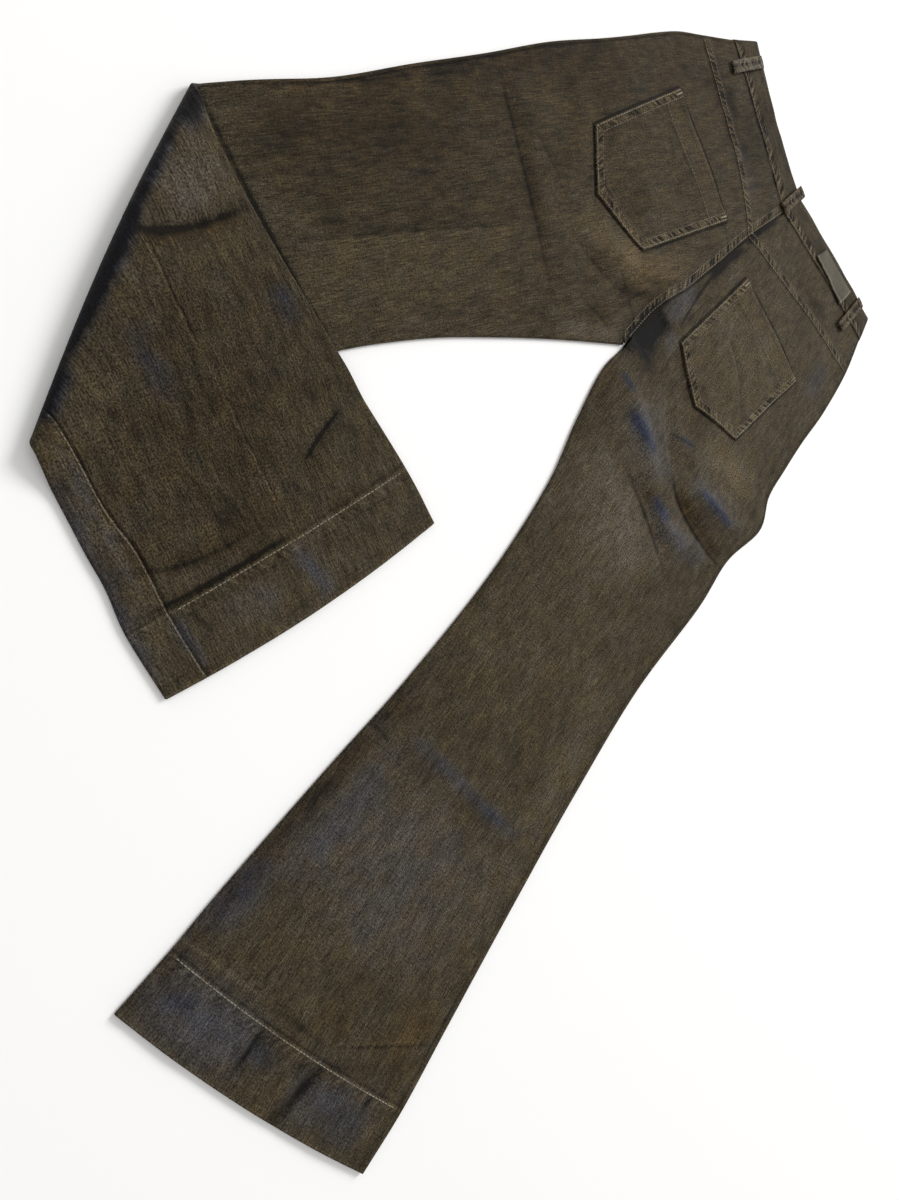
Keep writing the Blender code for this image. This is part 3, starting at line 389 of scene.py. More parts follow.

# Sharp lines of painted light: the shade in creases, the shadow beside a lapped seam, and lines where the
# cloth was pressed; a pale line is a painted highlight on a ridge.
# columns: start x, y, middle x, y, end x, y, half width, darkness (below 0 for a pale line), and how
# much lighter the cloth is on the left of the line than on its right, as painted light and shade of its two
# slopes
LINES = (
    # seat: the shadow beside the lapped seam, and the valley that leaves it
    (0.292, 0.343, 0.262, 0.327, 0.236, 0.305, 0.0026, 0.80, 0),
    (0.240, 0.303, 0.206, 0.281, 0.184, 0.256, 0.0040, 0.95, 0),
    (0.192, 0.268, 0.163, 0.236, 0.132, 0.193, 0.0019, 0.90, 0.08),
    (0.132, 0.193, 0.150, 0.210, 0.176, 0.236, 0.0012, 0.45, 0),
    # crotch: both sides of the lapped seam, and the notch
    (0.056, 0.169, 0.082, 0.198, 0.118, 0.227, 0.0034, 0.92, 0),
    (0.086, 0.176, 0.098, 0.197, 0.112, 0.212, 0.0016, 0.80, 0),
    (0.0735, 0.170, 0.0750, 0.181, 0.0735, 0.192, 0.0015, 0.95, 0),
    # folds of the left seat above the crotch
    (0.046, 0.228, 0.060, 0.222, 0.092, 0.226, 0.0024, 0.45, 0.05),
    (0.052, 0.240, 0.064, 0.220, 0.074, 0.196, 0.0026, 0.35, 0.05),
    (0.112, 0.244, 0.120, 0.236, 0.134, 0.236, 0.0020, 0.35, 0),
    (0.036, 0.262, 0.090, 0.238, 0.128, 0.250, 0.0018, 0.22, 0.06),
    # right thigh
    (0.060, 0.052, 0.088, 0.008, 0.113, -0.050, 0.0025, 0.74, 0.10),
    (0.116, 0.056, 0.146, 0.006, 0.199, -0.045, 0.0023, 0.84, 0.10),
    (0.112, 0.130, 0.108, 0.092, 0.114, 0.056, 0.0020, 0.34, 0),
    (0.124, 0.090, 0.138, 0.084, 0.156, 0.079, 0.0016, 0.40, 0),
    (0.045, 0.100, 0.060, 0.075, 0.074, 0.055, 0.0022, 0.20, 0.04),
    # left thigh: the pressed line, and cross wrinkles
    (-0.275, 0.194, -0.175, 0.225, -0.035, 0.264, 0.0012, 0.20, -0.34),
    (-0.0875, 0.380, -0.0625, 0.310, -0.028, 0.195, 0.0022, 0.44, 0.09),
    (-0.058, 0.352, -0.0375, 0.331, -0.022, 0.310, 0.0018, 0.30, 0.04),
    (-0.002, 0.264, 0.018, 0.243, 0.046, 0.224, 0.0020, 0.40, 0.05),
    (0.000, 0.202, 0.022, 0.196, 0.042, 0.178, 0.0020, 0.35, 0.05),
    (-0.330, 0.293, -0.220, 0.335, -0.080, 0.392, 0.0016, 0.35, 0),
    # the shadow beside the edge of the folded lower leg
    (-0.3600, 0.3020, -0.2917, 0.1860, -0.2150, 0.0760, 0.0026, 0.90, 0.08),
    # right pocket and seat: slack lines
    (0.2016, 0.199, 0.2156, 0.164, 0.223, 0.105, 0.0012, 0.35, -0.05),
    (0.246, 0.252, 0.262, 0.215, 0.270, 0.165, 0.0012, 0.22, 0.04),
    (0.334, 0.250, 0.348, 0.262, 0.366, 0.262, 0.0016, 0.30, 0),
    # left pocket: slack lines
    (0.094, 0.404, 0.116, 0.350, 0.146, 0.290, 0.0012, 0.22, 0.04),
    (0.110, 0.412, 0.140, 0.360, 0.160, 0.305, 0.0012, 0.16, 0.03),
    (0.030, 0.322, 0.034, 0.312, 0.044, 0.306, 0.0018, 0.60, 0),
    # right lower leg
    (-0.299, -0.3875, -0.235, -0.330, -0.172, -0.269, 0.0016, 0.20, 0.05),
    (-0.299, -0.386, -0.312, -0.402, -0.331, -0.424, 0.0034, 0.60, 0),
    (-0.250, -0.426, -0.275, -0.447, -0.308, -0.470, 0.0044, 0.55, 0),
    (-0.214, -0.467, -0.221, -0.475, -0.230, -0.485, 0.0020, 0.35, 0),
    (-0.243, -0.421, -0.200, -0.433, -0.156, -0.442, 0.0014, 0.50, 0),
    (-0.243, -0.418, -0.200, -0.430, -0.156, -0.439, 0.0012, -0.50, 0),
    (-0.363, -0.311, -0.334, -0.338, -0.300, -0.372, 0.0018, -0.55, 0),
    (-0.296, -0.378, -0.276, -0.394, -0.252, -0.420, 0.0030, 0.45, 0),
    (0.080, -0.120, 0.000, -0.190, -0.080, -0.285, 0.0016, 0.10, 0.03),
    (-0.217, -0.171, -0.206, -0.180, -0.196, -0.192, 0.0018, 0.45, 0),
)

FLAP_LINES = (
    # cross crease, its upper side sharp
    (-0.402, 0.171, -0.360, 0.1845, -0.312, 0.213, 0.0034, 0.86, 0.12),
    # pressed line: painted shade on its right side near the top, a painted highlight lower down
    (-0.392, 0.174, -0.371, 0.138, -0.345, 0.090, 0.0013, 0.60, 0),
    (-0.394, 0.174, -0.373, 0.138, -0.347, 0.090, 0.0012, -0.50, 0),
    (-0.358, 0.112, -0.317, 0.040, -0.279, -0.028, 0.0011, -0.60, 0),
    (-0.344, 0.089, -0.312, 0.034, -0.279, -0.025, 0.0011, 0.35, 0),
    # hem: painted shadow above the stitching, and a slack line over it
    (-0.395, -0.090, -0.335, -0.058, -0.279, -0.023, 0.0017, 0.70, 0),
    (-0.415, -0.056, -0.360, -0.050, -0.304, -0.018, 0.0022, 0.40, 0),
    (-0.290, -0.040, -0.294, -0.048, -0.293, -0.057, 0.0022, 0.50, 0),
    (-0.357, -0.080, -0.350, -0.089, -0.340, -0.098, 0.0022, 0.55, 0),
    # small folds by the outseam
    (-0.270, 0.030, -0.258, 0.050, -0.240, 0.074, 0.0018, 0.80, 0.06),
    (-0.430, 0.040, -0.415, 0.010, -0.398, -0.030, 0.0014, 0.16, 0),
)

# ---------------------------------------------------------------------------
# Places of the trims

# corners: mouth start, side, bottom, side, mouth end
POCKETS = {
    "left": ((0.1320, 0.4390), (0.0185, 0.3685), (0.0220, 0.3050), (0.0795, 0.2640), (0.2020, 0.3215)),
    "right": ((0.2350, 0.2690), (0.1340, 0.1840), (0.1515, 0.1215), (0.2155, 0.0940), (0.3150, 0.1690)),
}
BELT_LOOPS = {
    "left": ((0.2120, 0.4860), (0.2590, 0.5070)),
    "centre": ((0.2950, 0.3575), (0.3290, 0.3850)),
    "right": ((0.3990, 0.2440), (0.4400, 0.2810)),
}
PATCH = ((0.3560, 0.3180), (0.3750, 0.3300), (0.4200, 0.2890), (0.4005, 0.2715))

CAMERA_PLACE = (-0.530, -0.075, 0.6156)
CAMERA_TILT = math.radians(32.5)  # from straight down, towards +X
CAMERA_LENS = 25.98

KEY_PLACE = (3.6, 2.5, 3.2)  # low, from the waist's side, so that the folds show
KEY_SIZE = 2.6
KEY_POWER = 235
ROOM_LIGHT = 0.68


# ---------------------------------------------------------------------------
# Settings


class JEANS_PG_cloth(bpy.types.PropertyGroup):
    """Sizes of the cloth and the thread."""

    wall: FloatProperty(
        name="Denim thickness", description="One layer of denim", default=0.0012, unit="LENGTH"
    )
    grid: FloatProperty(
        name="Grid step", description="Distance between the points of a panel", default=0.0021, unit="LENGTH"
    )
    fine_grid: FloatProperty(
        name="Fine grid step",
        description="Distance between the points of a trim or a seam band",
        default=0.0011,
        unit="LENGTH",
    )
    stitch: FloatProperty(
        name="Stitch length", description="Length of one stitch", default=0.0030, unit="LENGTH"
    )
    stitch_space: FloatProperty(
        name="Stitch space", description="Distance between two stitches", default=0.0007, unit="LENGTH"
    )
    thread: FloatProperty(
        name="Thread radius", description="Half the thickness of the thread", default=0.00038, unit="LENGTH"
    )


class JEANS_PG_finish(bpy.types.PropertyGroup):
    """Colours of the cloth, the thread, the patch and the floor."""

    denim_dark: FloatVectorProperty(
        name="Denim ground",
        description="Coated warp of the denim",
        default=(0.0131, 0.0087, 0.0038),
        subtype="COLOR",
    )
    denim_light: FloatVectorProperty(
        name="Denim fleck",
        description="Weft and worn yarn that show through",
        default=(0.1050, 0.0845, 0.0498),
        subtype="COLOR",
    )
    # painted sheen: the blue-black cast that the light lays on the coated folds, brought in by the blue trait
    denim_blue: FloatVectorProperty(
        name="Denim blue",
        description="Blue-black cast of the worn folds",
        default=(0.043, 0.047, 0.062),
        subtype="COLOR",
    )
    denim_navy: FloatVectorProperty(
        name="Denim navy",
        description="Deep blue of the slopes away from the light",
        default=(0.033, 0.038, 0.060),
        subtype="COLOR",
    )
    denim_warm: FloatVectorProperty(
        name="Denim rust",
        description="Warm brown cast of the slack places",
        default=(0.064, 0.039, 0.014),
        subtype="COLOR",
    )
    thread_pale: FloatVectorProperty(
        name="Pale thread",
        description="Edge stitching that catches the light",
        default=(0.43, 0.38, 0.30),
        subtype="COLOR",
    )
    thread_tonal: FloatVectorProperty(
        name="Tonal thread",
        description="Thread in the colour of the denim",
        default=(0.29, 0.245, 0.18),
        subtype="COLOR",
    )
    patch: FloatVectorProperty(
        name="Patch", description="Thin blank board", default=(0.088, 0.078, 0.058), subtype="COLOR"
    )
    floor: FloatVectorProperty(
        name="Floor", description="Plain pale floor", default=(0.93, 0.93, 0.93), subtype="COLOR"
    )


# ---------------------------------------------------------------------------
# Curves, soft steps and folds


def curve_through(rows, at):
    """Catmull-Rom curve through a table's rows, read at fractional row numbers."""
    first, last = 2 * rows[0] - rows[1], 2 * rows[-1] - rows[-2]
    padded = np.concatenate([[first], rows, [last]])
    step = np.clip(np.floor(at).astype(int), 0, len(rows) - 2)
    t = (at - step)[..., None]
    before, start, end, after = (padded[step + k] for k in range(4))
    return 0.5 * (
        2 * start
        + (end - before) * t
        + (2 * before - 5 * start + 4 * end - after) * t**2
        + (3 * start - before - 3 * end + after) * t**3
    )


def soft_step(value):
    """0 below 0, 1 above 1, and t squared times (3 - 2t) between."""
    t = np.clip(value, 0.0, 1.0)
    return t * t * (3 - 2 * t)


def unit(vectors):
    """The vectors divided by their lengths."""
    return vectors / np.linalg.norm(vectors, axis=-1, keepdims=True)


def to_left(vectors):
    """Plan vectors turned a quarter turn to the left."""
    return np.stack([-vectors[..., 1], vectors[..., 0]], axis=-1)


def raised(plan, height):
    """Points of the plan at that height."""
    return np.concatenate([plan, height[..., None]], axis=-1)


def near_line(away, place, half_width):
    """Bell of height 1 where the distance is the given place."""
    return np.exp(-(((away - place) / half_width) ** 2))


def uneven_wave(along, pitch, *wander, slant=0.0):
    """A sine wave along a seam, whose phase wanders by slower sine waves.

    Each of those is given as its strength and its radians a metre. The slant moves the wave along.
    """
    phase = (along + slant) / pitch * 2 * math.pi
    for strength, number in wander:
        phase = phase + strength * np.sin(along * number)
    return np.sin(phase)


def nearest_on(x, y, line):
    """Distance of each point from a line of straight pieces, and its place along it from 0 to 1."""
    start, step = line[:-1], np.diff(line, axis=0)
    offset_x, offset_y = x[..., None] - start[:, 0], y[..., None] - start[:, 1]
    along = (offset_x * step[:, 0] + offset_y * step[:, 1]) / (step**2).sum(axis=1)
    along = np.clip(along, 0, 1)
    away = np.hypot(offset_x - along * step[:, 0], offset_y - along * step[:, 1])
    piece = away.argmin(axis=-1)[..., None]
    place = (piece + np.take_along_axis(along, piece, -1)) / len(step)
    return np.take_along_axis(away, piece, -1)[..., 0], place[..., 0]


def beside_line(x, y, line):
    """Distance from a line of straight pieces, positive on its left, and the place along it."""
    away, place = nearest_on(x, y, line)
    piece = np.minimum((place * (len(line) - 1)).astype(int), len(line) - 2)
    step, start = np.diff(line, axis=0)[piece], line[piece]
    turn = np.sign(step[..., 0] * (y - start[..., 1]) - step[..., 1] * (x - start[..., 0]))
    return turn * away, place


def curve_of(row):
    """Thirteen points of the parabola from a fold's start through its middle to its end."""
    t = np.linspace(0, 1, 13)[:, None]
    start, middle, end = np.array(row[:6]).reshape(3, 2)
    handle = 2 * middle - (start + end) / 2
    return (1 - t) ** 2 * start + 2 * t * (1 - t) * handle + t**2 * end


def near_curve(x, y, row):
    """1 on a fold's line, falling off as a bell across it and dying out at its two ends."""
    away, place = nearest_on(x, y, curve_of(row))
    return np.exp(-((away / row[6]) ** 2)) * (1 - np.abs(2 * place - 1) ** 3)


def fold_sum(x, y, swells, creases, pressed):
    """Broad swells with round ends, creases with pointed ones, and roofs along the pressed lines."""
    total = np.zeros_like(x)
    for row in swells:
        away, _ = nearest_on(x, y, curve_of(row))
        total += row[7] * np.exp(-((away / row[6]) ** 2))
    for row in creases:
        total += row[7] * near_curve(x, y, row)
    for row in pressed:
        away, place = nearest_on(x, y, curve_of(row))
        ends = 1 - np.abs(2 * place - 1) ** 6
        total += row[7] * ends * np.exp(-away / row[6])
    return total


def ripple(x, y, length, seed):
    """Sum of nine sine waves of nearly one length in scattered directions, about -1 to 1."""
    random = np.random.default_rng(seed)
    angle, phase = random.random((2, 9)) * 2 * math.pi
    number = 2 * math.pi / (length * (0.7 + 0.6 * random.random(9)))
    wave = x[..., None] * np.cos(angle) * number + y[..., None] * np.sin(angle) * number + phase
    return np.sin(wave).sum(axis=-1) / 4


def slack(x, y):
    """The small unevenness of cloth laid by hand: long, middling and short ripples."""
    broad = 0.00042 * ripple(x, y, 0.080, 1) + 0.00022 * ripple(x, y, 0.032, 2)
    return broad + 0.00007 * ripple(x, y, 0.012, 3)


# ---------------------------------------------------------------------------
# The tube of each leg


def inner_line(side, row):
    """Plan of the inner edge: the seat seam above the crotch, the leg's inner edge below it."""
    above = curve_through(SEAT_SEAM, np.minimum(row, CROTCH))
    below = curve_through(INNER[side], np.maximum(row - CROTCH, 0))
    line = np.where((row < CROTCH)[..., None], above, below)
    parting = soft_step(np.where(row < CROTCH, (row - CROTCH) / 0.4 + 1, 1 - (row - CROTCH) / 0.8))
    outward = CROTCH_LINE if side == "left" else -CROTCH_LINE
    return line + CROTCH_SPREAD * parting[..., None] * outward


def row_frame(side, row):
    """Inner point, unit vector across, width, bow vector and outseam distance of each row."""
    table = curve_through(OUTER[side], row)
    inner = inner_line(side, row)
    across = table[..., :2] - inner
    width = np.linalg.norm(across, axis=-1)
    across = across / width[..., None]
    to_waist = -to_left(across) if side == "left" else to_left(across)
    return inner, across, width, table[..., 2:3] * to_waist, table[..., 3]


def leg_width(side, row):
    """Width of each row, from its inner point to its outer one."""
    return row_frame(side, row)[2]


def inner_inset(row):
    """The inner rounding starts at the crotch: above it the seat seam is a plain edge."""
    return np.where(row < CROTCH, 0.0, EDGE)


def inseam_wrap(row):
    """How far the back panel reaches round the inner edge, from the crotch down and past the fold."""
    rise = (INSEAM_WRAP - CROTCH_WRAP) * soft_step((row - CROTCH) / 2.0)
    return CROTCH_WRAP + rise + FLAP_WRAP * soft_step((row - FOLD_ROW - 0.1) / 0.8)


def outseam(side, row):
    """The value of round at the outseam, on the upper side near the outer edge."""
    _, _, width, _, distance = row_frame(side, row)
    return 1 - distance / (width - EDGE - inner_inset(row))


def beyond_fold(plan):
    """Distance past the fold line and place along it, with the line's two unit vectors."""
    along = unit(FOLD_BOTTOM - FOLD_TOP)
    outward = -to_left(along)
    offset = plan - FOLD_TOP
    return offset @ outward, offset @ along, along, outward


def mirrored_in_fold(x, y):
    """Where a point past the fold line lies once the leg is folded, and how far past it is."""
    plan = np.stack([x, y], axis=-1)
    past, _, _, outward = beyond_fold(plan)
    folded = plan - 2 * past[..., None] * outward
    return folded[..., 0], folded[..., 1], past


def hem_rise(row, along):
    """The turned-up hem: a low step, a groove at the stitching, puckers, and a rounded lower edge."""
    below = (row - HEM_STITCH) * HEM_DEPTH
    pucker = uneven_wave(along, 0.0075, (2, 90), (1, 211)) * near_line(below, 0.002, 0.006)
    step = HEM_RISE * soft_step(below / 0.003 + 0.5)
    rounding = 0.0007 * np.exp(-(HEM_DEPTH - below) / 0.0012)
    return step - 0.0004 * near_line(below, 0.0, 0.0016) + 0.0002 * pucker - rounding


def seam_puckers(away, along, pitch, slant):
    """Slanting uneven waves between the two stitch rows of a lapped seam."""
    wave = uneven_wave(along, pitch, (1.3, 47), (0.9, 131), slant=slant * away)
    return wave * near_line(away, 0.0052, 0.0034) * (0.75 + 0.25 * np.sin(along * 29))


def seam_relief(side, row, x, y):
    """Relief of the lapped seams of the seat.

    The yoke laps over the panel and the left half over the right one. The lapping side is raised over
    the band's width, with its edge rounded, and the other side dips just beside it.
    """
    turn = 1.0 if side == "left" else -1.0
    above = row <= YOKE_SEAM
    yoke_away, yoke_place = nearest_on(x, y, seam_plan(side, "yoke"))
    seat_away, seat_place = nearest_on(x, y, seam_plan(side, "seat"))
    yoke_lap = (above & (row >= BAND_SEAM - 0.05)) * (1 - soft_step((yoke_away - BAND_WIDTH) / 0.002))
    near_seat = np.where(row < CROTCH, 1 - soft_step((row - CROTCH + 0.5) / 0.5), 0.0)
    seat_lap = near_seat * (1 - soft_step((seat_away - BAND_WIDTH) / 0.002)) * (side == "left")
    yoke_pucker = yoke_lap * seam_puckers(yoke_away, 0.25 * yoke_place, 0.0062, turn * 0.5)
    seat_pucker = seat_lap * seam_puckers(seat_away, 0.33 * seat_place, 0.0054, 0.9)
    relief = LAP_RISE * np.maximum(yoke_lap, seat_lap) + 0.00025 * yoke_pucker + 0.00040 * seat_pucker
    relief = relief - 0.0003 * np.exp(-yoke_away / 0.0015) * (~above)
    relief = relief - 0.0004 * near_seat * np.exp(-seat_away / 0.002) * (side == "right")
    for lap, away in ((yoke_lap, yoke_away), (seat_lap, seat_away)):
        grooves = sum(near_line(away, place, GROOVE) for place in SEAM_ROWS)
        relief = relief - lap * (0.0005 * np.exp(-away / 0.0006) + 0.00025 * grooves)
    return relief


def held(relief):
    """Troughs no deeper than the space between the two layers: -D tanh(-z / D) below zero."""
    return np.where(relief < 0, DEEPEST_TROUGH * np.tanh(relief / DEEPEST_TROUGH), relief)


def edge_puckers(from_edge, along):
    """Short uneven waves beside an overlocked edge seam."""
    wave = np.sin(along / 0.0125 * 2 * math.pi + 1.7 * np.sin(along * 61) + from_edge * 120)
    return 0.00028 * wave * np.exp(-from_edge / 0.009) * soft_step((from_edge - EDGE) / 0.003)


def upper_relief(x, y):
    """Folds and unevenness of the upper side at points of the plan, shallower over the front's band."""
    relief = fold_sum(x, y, SWELLS, CREASES, PRESSED) + slack(x, y)
    up = WAIST_WARD[0] * x + WAIST_WARD[1] * y
    shallow = 1 - 0.55 * soft_step((up - 0.385) / 0.03)
    return np.where(relief < 0, relief * shallow, relief)


def upper_height(side, row, x, y, from_inner, from_outer):
    """Height of the upper side: laid flat, with the folds fading out at the rounded edges."""
    inner_fade = np.where(row < CROTCH, 1.0, soft_step((from_inner - EDGE) / EDGE_FADE))
    fade = soft_step((from_outer - EDGE) / EDGE_FADE) * inner_fade
    relief = upper_relief(x, y)
    across, along = np.moveaxis(grain_of(side, x, y), -1, 0)
    edge = edge_puckers(from_outer, along) + np.where(row < CROTCH, 0.0, edge_puckers(from_inner, along))
    if side == "left":
        past = mirrored_in_fold(x, y)[2]
        fade = fade * soft_step(-(past + FLAP_CLEAR) / 0.05)
        edge = edge * soft_step(-past / 0.03)
    else:
        relief = relief + hem_rise(row, across)
    seams = seam_relief(side, row, x, y) * soft_step((from_outer - 0.001) / 0.003)
    return LAID + held(relief * fade) + edge + seams


def under_height(side, row, x, y, from_inner, from_outer):
    """Height of the under side: the floor, and on the folded lower leg its creases, facing down."""
    if side == "right":
        return np.zeros_like(x)
    shown_x, shown_y, past = mirrored_in_fold(x, y)
    fade = soft_step((from_outer - EDGE) / EDGE_FADE) * soft_step((from_inner - EDGE) / EDGE_FADE)
    across, along = np.moveaxis(grain_of(side, x, y), -1, 0)
    relief = fold_sum(shown_x, shown_y, FLAP_SWELLS, FLAP_CREASES, FLAP_PRESSED)
    relief = held((relief + slack(shown_x, shown_y) + hem_rise(row, across)) * fade)
    relief = relief + edge_puckers(from_inner, along) + edge_puckers(from_outer, along)
    from_inseam = from_inner - inseam_wrap(row)
    inside, outside = np.minimum(from_inseam, 0), np.maximum(from_inseam, 0)
    lapping = 0.0005 * np.exp(inside / 0.008) - 0.0004 * np.exp(inside / 0.0006)
    relief = relief + np.where(from_inseam < 0, lapping, -0.0003 * np.exp(-outside / 0.002))
    return -relief * soft_step(past / 0.03)


def grain_of(side, x, y):
    """Pattern coordinates of unfolded cloth: across the warp and along it, in metres."""
    sine, cosine = math.sin(GRAIN[side]), math.cos(GRAIN[side])
    return np.stack([-sine * x + cosine * y, cosine * x + sine * y], axis=-1)


def edge_turns(round_):
    """Turns round the two rounded edges: upwards at the inner one, and downwards at the outer one."""
    inner_turn = np.clip(round_ + 1, 0, 1) * math.pi - math.pi / 2
    return inner_turn, math.pi / 2 - np.clip(round_ - 1, 0, 1) * math.pi


def by_stretch(round_, *values):
    """For each point the value of its stretch of the tube, of the five in the order of round."""
    stretches = [round_ < -1, round_ < 0, round_ <= 1, round_ <= 2]
    return np.select(stretches, values[:4], values[4])


def leg_plan(side, row, round_):
    """Plan of the tube's points, their distance from its inner side, and the width of their row."""
    inner, across, width, bow, _ = row_frame(side, row)
    inset = inner_inset(row)
    flat = width - EDGE - inset
    inner_turn, outer_turn = edge_turns(round_)
    distance = by_stretch(
        round_,
        EDGE + (-1 - round_) * flat,
        EDGE - EDGE * np.cos(inner_turn),
        inset + round_ * flat,
        width - EDGE + EDGE * np.cos(outer_turn),
        width - EDGE - (round_ - 2) * flat,
    )
    share = distance / width
    plan = inner + across * distance[..., None] + 4 * (share * (1 - share))[..., None] * bow
    return plan, distance, width


def seam_plan(side, seam):
    """Plan line of the seat seam, the yoke seam or the waistband's seam of one side."""
    count = 60
    if seam == "seat":
        return leg_plan(side, np.linspace(0, CROTCH - 0.01, count), np.zeros(count))[0]
    row = {"yoke": YOKE_SEAM, "band": BAND_SEAM}[seam]
    return leg_plan(side, np.full(count, float(row)), np.linspace(0, 1, count))[0]


def tube(side, row, round_):
    """Outer face of a leg before it is folded: row and round_ are arrays of one shape."""
    plan, distance, width = leg_plan(side, row, round_)
    x, y = plan[..., 0], plan[..., 1]
    inner_edge, outer_edge = (EDGE + EDGE * np.sin(turn) for turn in edge_turns(round_))
    under = under_height(side, row, x, y, distance, width - distance)
    upper = upper_height(side, row, x, y, distance, width - distance)
    return raised(plan, by_stretch(round_, under, inner_edge, upper, outer_edge, under))


def fold_over(points):
    """Bends what lies past the fold line round it, lays it on the upper leg and drapes it off.

    The middle of the two layers follows an arc of a little more than half a turn, a straight slope
    down, and an arc that levels out. A point keeps its height over that middle line.
    """
    past, place, along, outward = beyond_fold(points[..., :2])
    length = np.linalg.norm(FOLD_BOTTOM - FOLD_TOP)
    swell = FOLD_BULGE * np.sin(math.pi * np.clip(place / length, 0, 1))
    radius = FOLD_RADIUS + swell
    start = swell - FOLD_RADIUS - EDGE
    sine, cosine = math.sin(FOLD_SLOPE), math.cos(FOLD_SLOPE)
    drop = radius * (1 + cosine) - LAID - FLAP_GAP
    slope = (drop - FOLD_EASE * (1 - cosine)) / sine
    ease = FOLD_EASE * FOLD_SLOPE
    turn = radius * (math.pi + FOLD_SLOPE)
    end_x = -(radius + FOLD_EASE) * sine - slope * cosine
    run = past - start
    run = run + (end_x + turn + slope + ease + 2 * start) * soft_step(run / FOLD_SETTLE)

    angle = np.clip(run, 0, turn) / radius
    down = np.clip(run - turn, 0, slope)
    eased = np.clip(run - turn - slope, 0, ease) / FOLD_EASE
    level = np.maximum(run - turn - slope - ease, 0)
    tilt = angle - eased
    line_x = radius * np.sin(angle) - down * cosine - level
    line_x = line_x - FOLD_EASE * (sine - np.sin(FOLD_SLOPE - eased))
    line_z = radius * (1 - np.cos(angle)) - down * sine
    line_z = line_z - FOLD_EASE * (np.cos(FOLD_SLOPE - eased) - cosine)

    over_middle = points[..., 2] - EDGE
    plan = FOLD_TOP + place[..., None] * along
    plan = plan + (start + line_x - over_middle * np.sin(tilt))[..., None] * outward
    edge = unit(INNER["left"][4] - FOLD_BOTTOM)
    off_leg = (plan - FOLD_BOTTOM) @ -to_left(edge)
    falls = soft_step((off_leg - DRAPE_START) / DRAPE) * soft_step(tilt / math.pi)
    height = EDGE + line_z + over_middle * np.cos(tilt) - (LAID + FLAP_GAP) * falls
    return np.where((run > 0)[..., None], raised(plan, height), points)


def cloth(side, row, round_):
    """Outer face of a leg as it lies."""
    row, round_ = np.broadcast_arrays(np.asarray(row, float), np.asarray(round_, float))
    points = tube(side, row, round_)
    return fold_over(points) if side == "left" else points


# ---------------------------------------------------------------------------
# Grids of points


def spaced(values, lengths, step):
    """Values picked so that the way from each to the next is about the step wanted there."""
    count = np.concatenate([[0], np.cumsum(np.diff(lengths) * 2 / (step[1:] + step[:-1]))])
    return np.interp(np.linspace(0, count[-1], max(3, math.ceil(count[-1]) + 1)), count, values)


def way_along(points):
    """Length of a line of points from its start to each point."""
    steps = np.linalg.norm(np.diff(points, axis=0), axis=-1)
    return np.concatenate([[0], np.cumsum(steps)])


def grid_rows(side, piece, first, last, sizes):
    """Rows at the piece's own steps, finer beside the seams and round the fold."""
    row = np.linspace(first, last, 1500)
    inner, across, width, _, _ = row_frame(side, row)
    length = way_along(inner + across * (width / 2)[:, None])
    seams = np.interp([BAND_SEAM, YOKE_SEAM, HEM_STITCH, HEM], row, length)
    near_seam = np.abs(length[:, None] - seams).min(axis=1) < 0.006
    in_fold = (side == "left") & (row > FOLD_ROW + 0.2) & (row < FOLD_ROW + 0.65)
    ends, steps = np.array(ROW_STEPS[side, piece]).T
    step = sizes.grid * steps[np.minimum(np.searchsorted(ends, row), len(ends) - 1)]
    return spaced(row, length, np.where(near_seam | in_fold, sizes.fine_grid, step))


def leg_rows(side, piece, first, sizes):
    """Rows from the first one to the hem, with one just at the crotch."""
    above = grid_rows(side, piece, first, CROTCH, sizes)
    return np.concatenate([above[:-1], grid_rows(side, piece, CROTCH, HEM, sizes)])


def grid_columns(width, sizes, fine_start, fine_end, coarse=1.0):
    """Shares of a width from 0 to 1, finer over the given lengths at its two ends."""
    place = np.linspace(0, width, 1500)
    fine = (place < fine_start) | (place > width - fine_end)
    return spaced(place / width, place, np.where(fine, sizes.fine_grid, sizes.grid * coarse))


def drawn_in(grid, sides, gap=SEAM_GAP):
    """Moves the named edges of a grid inwards by half a seam's gap."""
    grid = grid.copy()
    ends = {"top": (0, 1, 0), "bottom": (-1, -2, 0), "left": (0, 1, 1), "right": (-1, -2, 1)}
    for name in sides:
        edge, beside, axis = ends[name]
        lines = np.moveaxis(grid, axis, 0)
        step = lines[beside] - lines[edge]
        lines[edge] += gap / 2 * step / np.linalg.norm(step, axis=-1, keepdims=True)
    return grid


def faces_of(index):
    """One face for each cell of a grid of point numbers."""
    corners = index[:-1, :-1], index[:-1, 1:], index[1:, 1:], index[1:, :-1]
    return np.stack(corners, axis=-1).reshape(-1, 4)


def numbered(shape, first=0):
    """Point numbers of a grid of that shape."""
    return first + np.arange(shape[0] * shape[1]).reshape(shape[:2])


def facing_out(side, faces):
    """The right leg's rows run the other way round, so its faces are turned."""
    return faces if side == "left" else faces[:, ::-1]


def cut_size(*grids):
    """Width, length and area of flat pieces: the widest row, the longest column and all cells."""
    width = sum(np.linalg.norm(np.diff(grid, axis=1), axis=-1).sum(axis=1).max() for grid in grids)
    length = max(np.linalg.norm(np.diff(grid, axis=0), axis=-1).sum(axis=0).max() for grid in grids)
    area = 0.0
    for grid in grids:
        one = grid[1:, 1:] - grid[:-1, :-1]
        other = grid[1:, :-1] - grid[:-1, 1:]
        area += np.linalg.norm(np.cross(one, other), axis=-1).sum() / 2
    return float(width), float(length), float(area)


def in_plan(points):
    """The points brought down to the floor, for the cut of a trim that lies on a panel."""
    return points * np.array([1, 1, 0])


def listed(*grids):
    """One list of all the grids' points, or of what each point has."""
    return np.concatenate([grid.reshape(-1, grid.shape[-1]) for grid in grids])
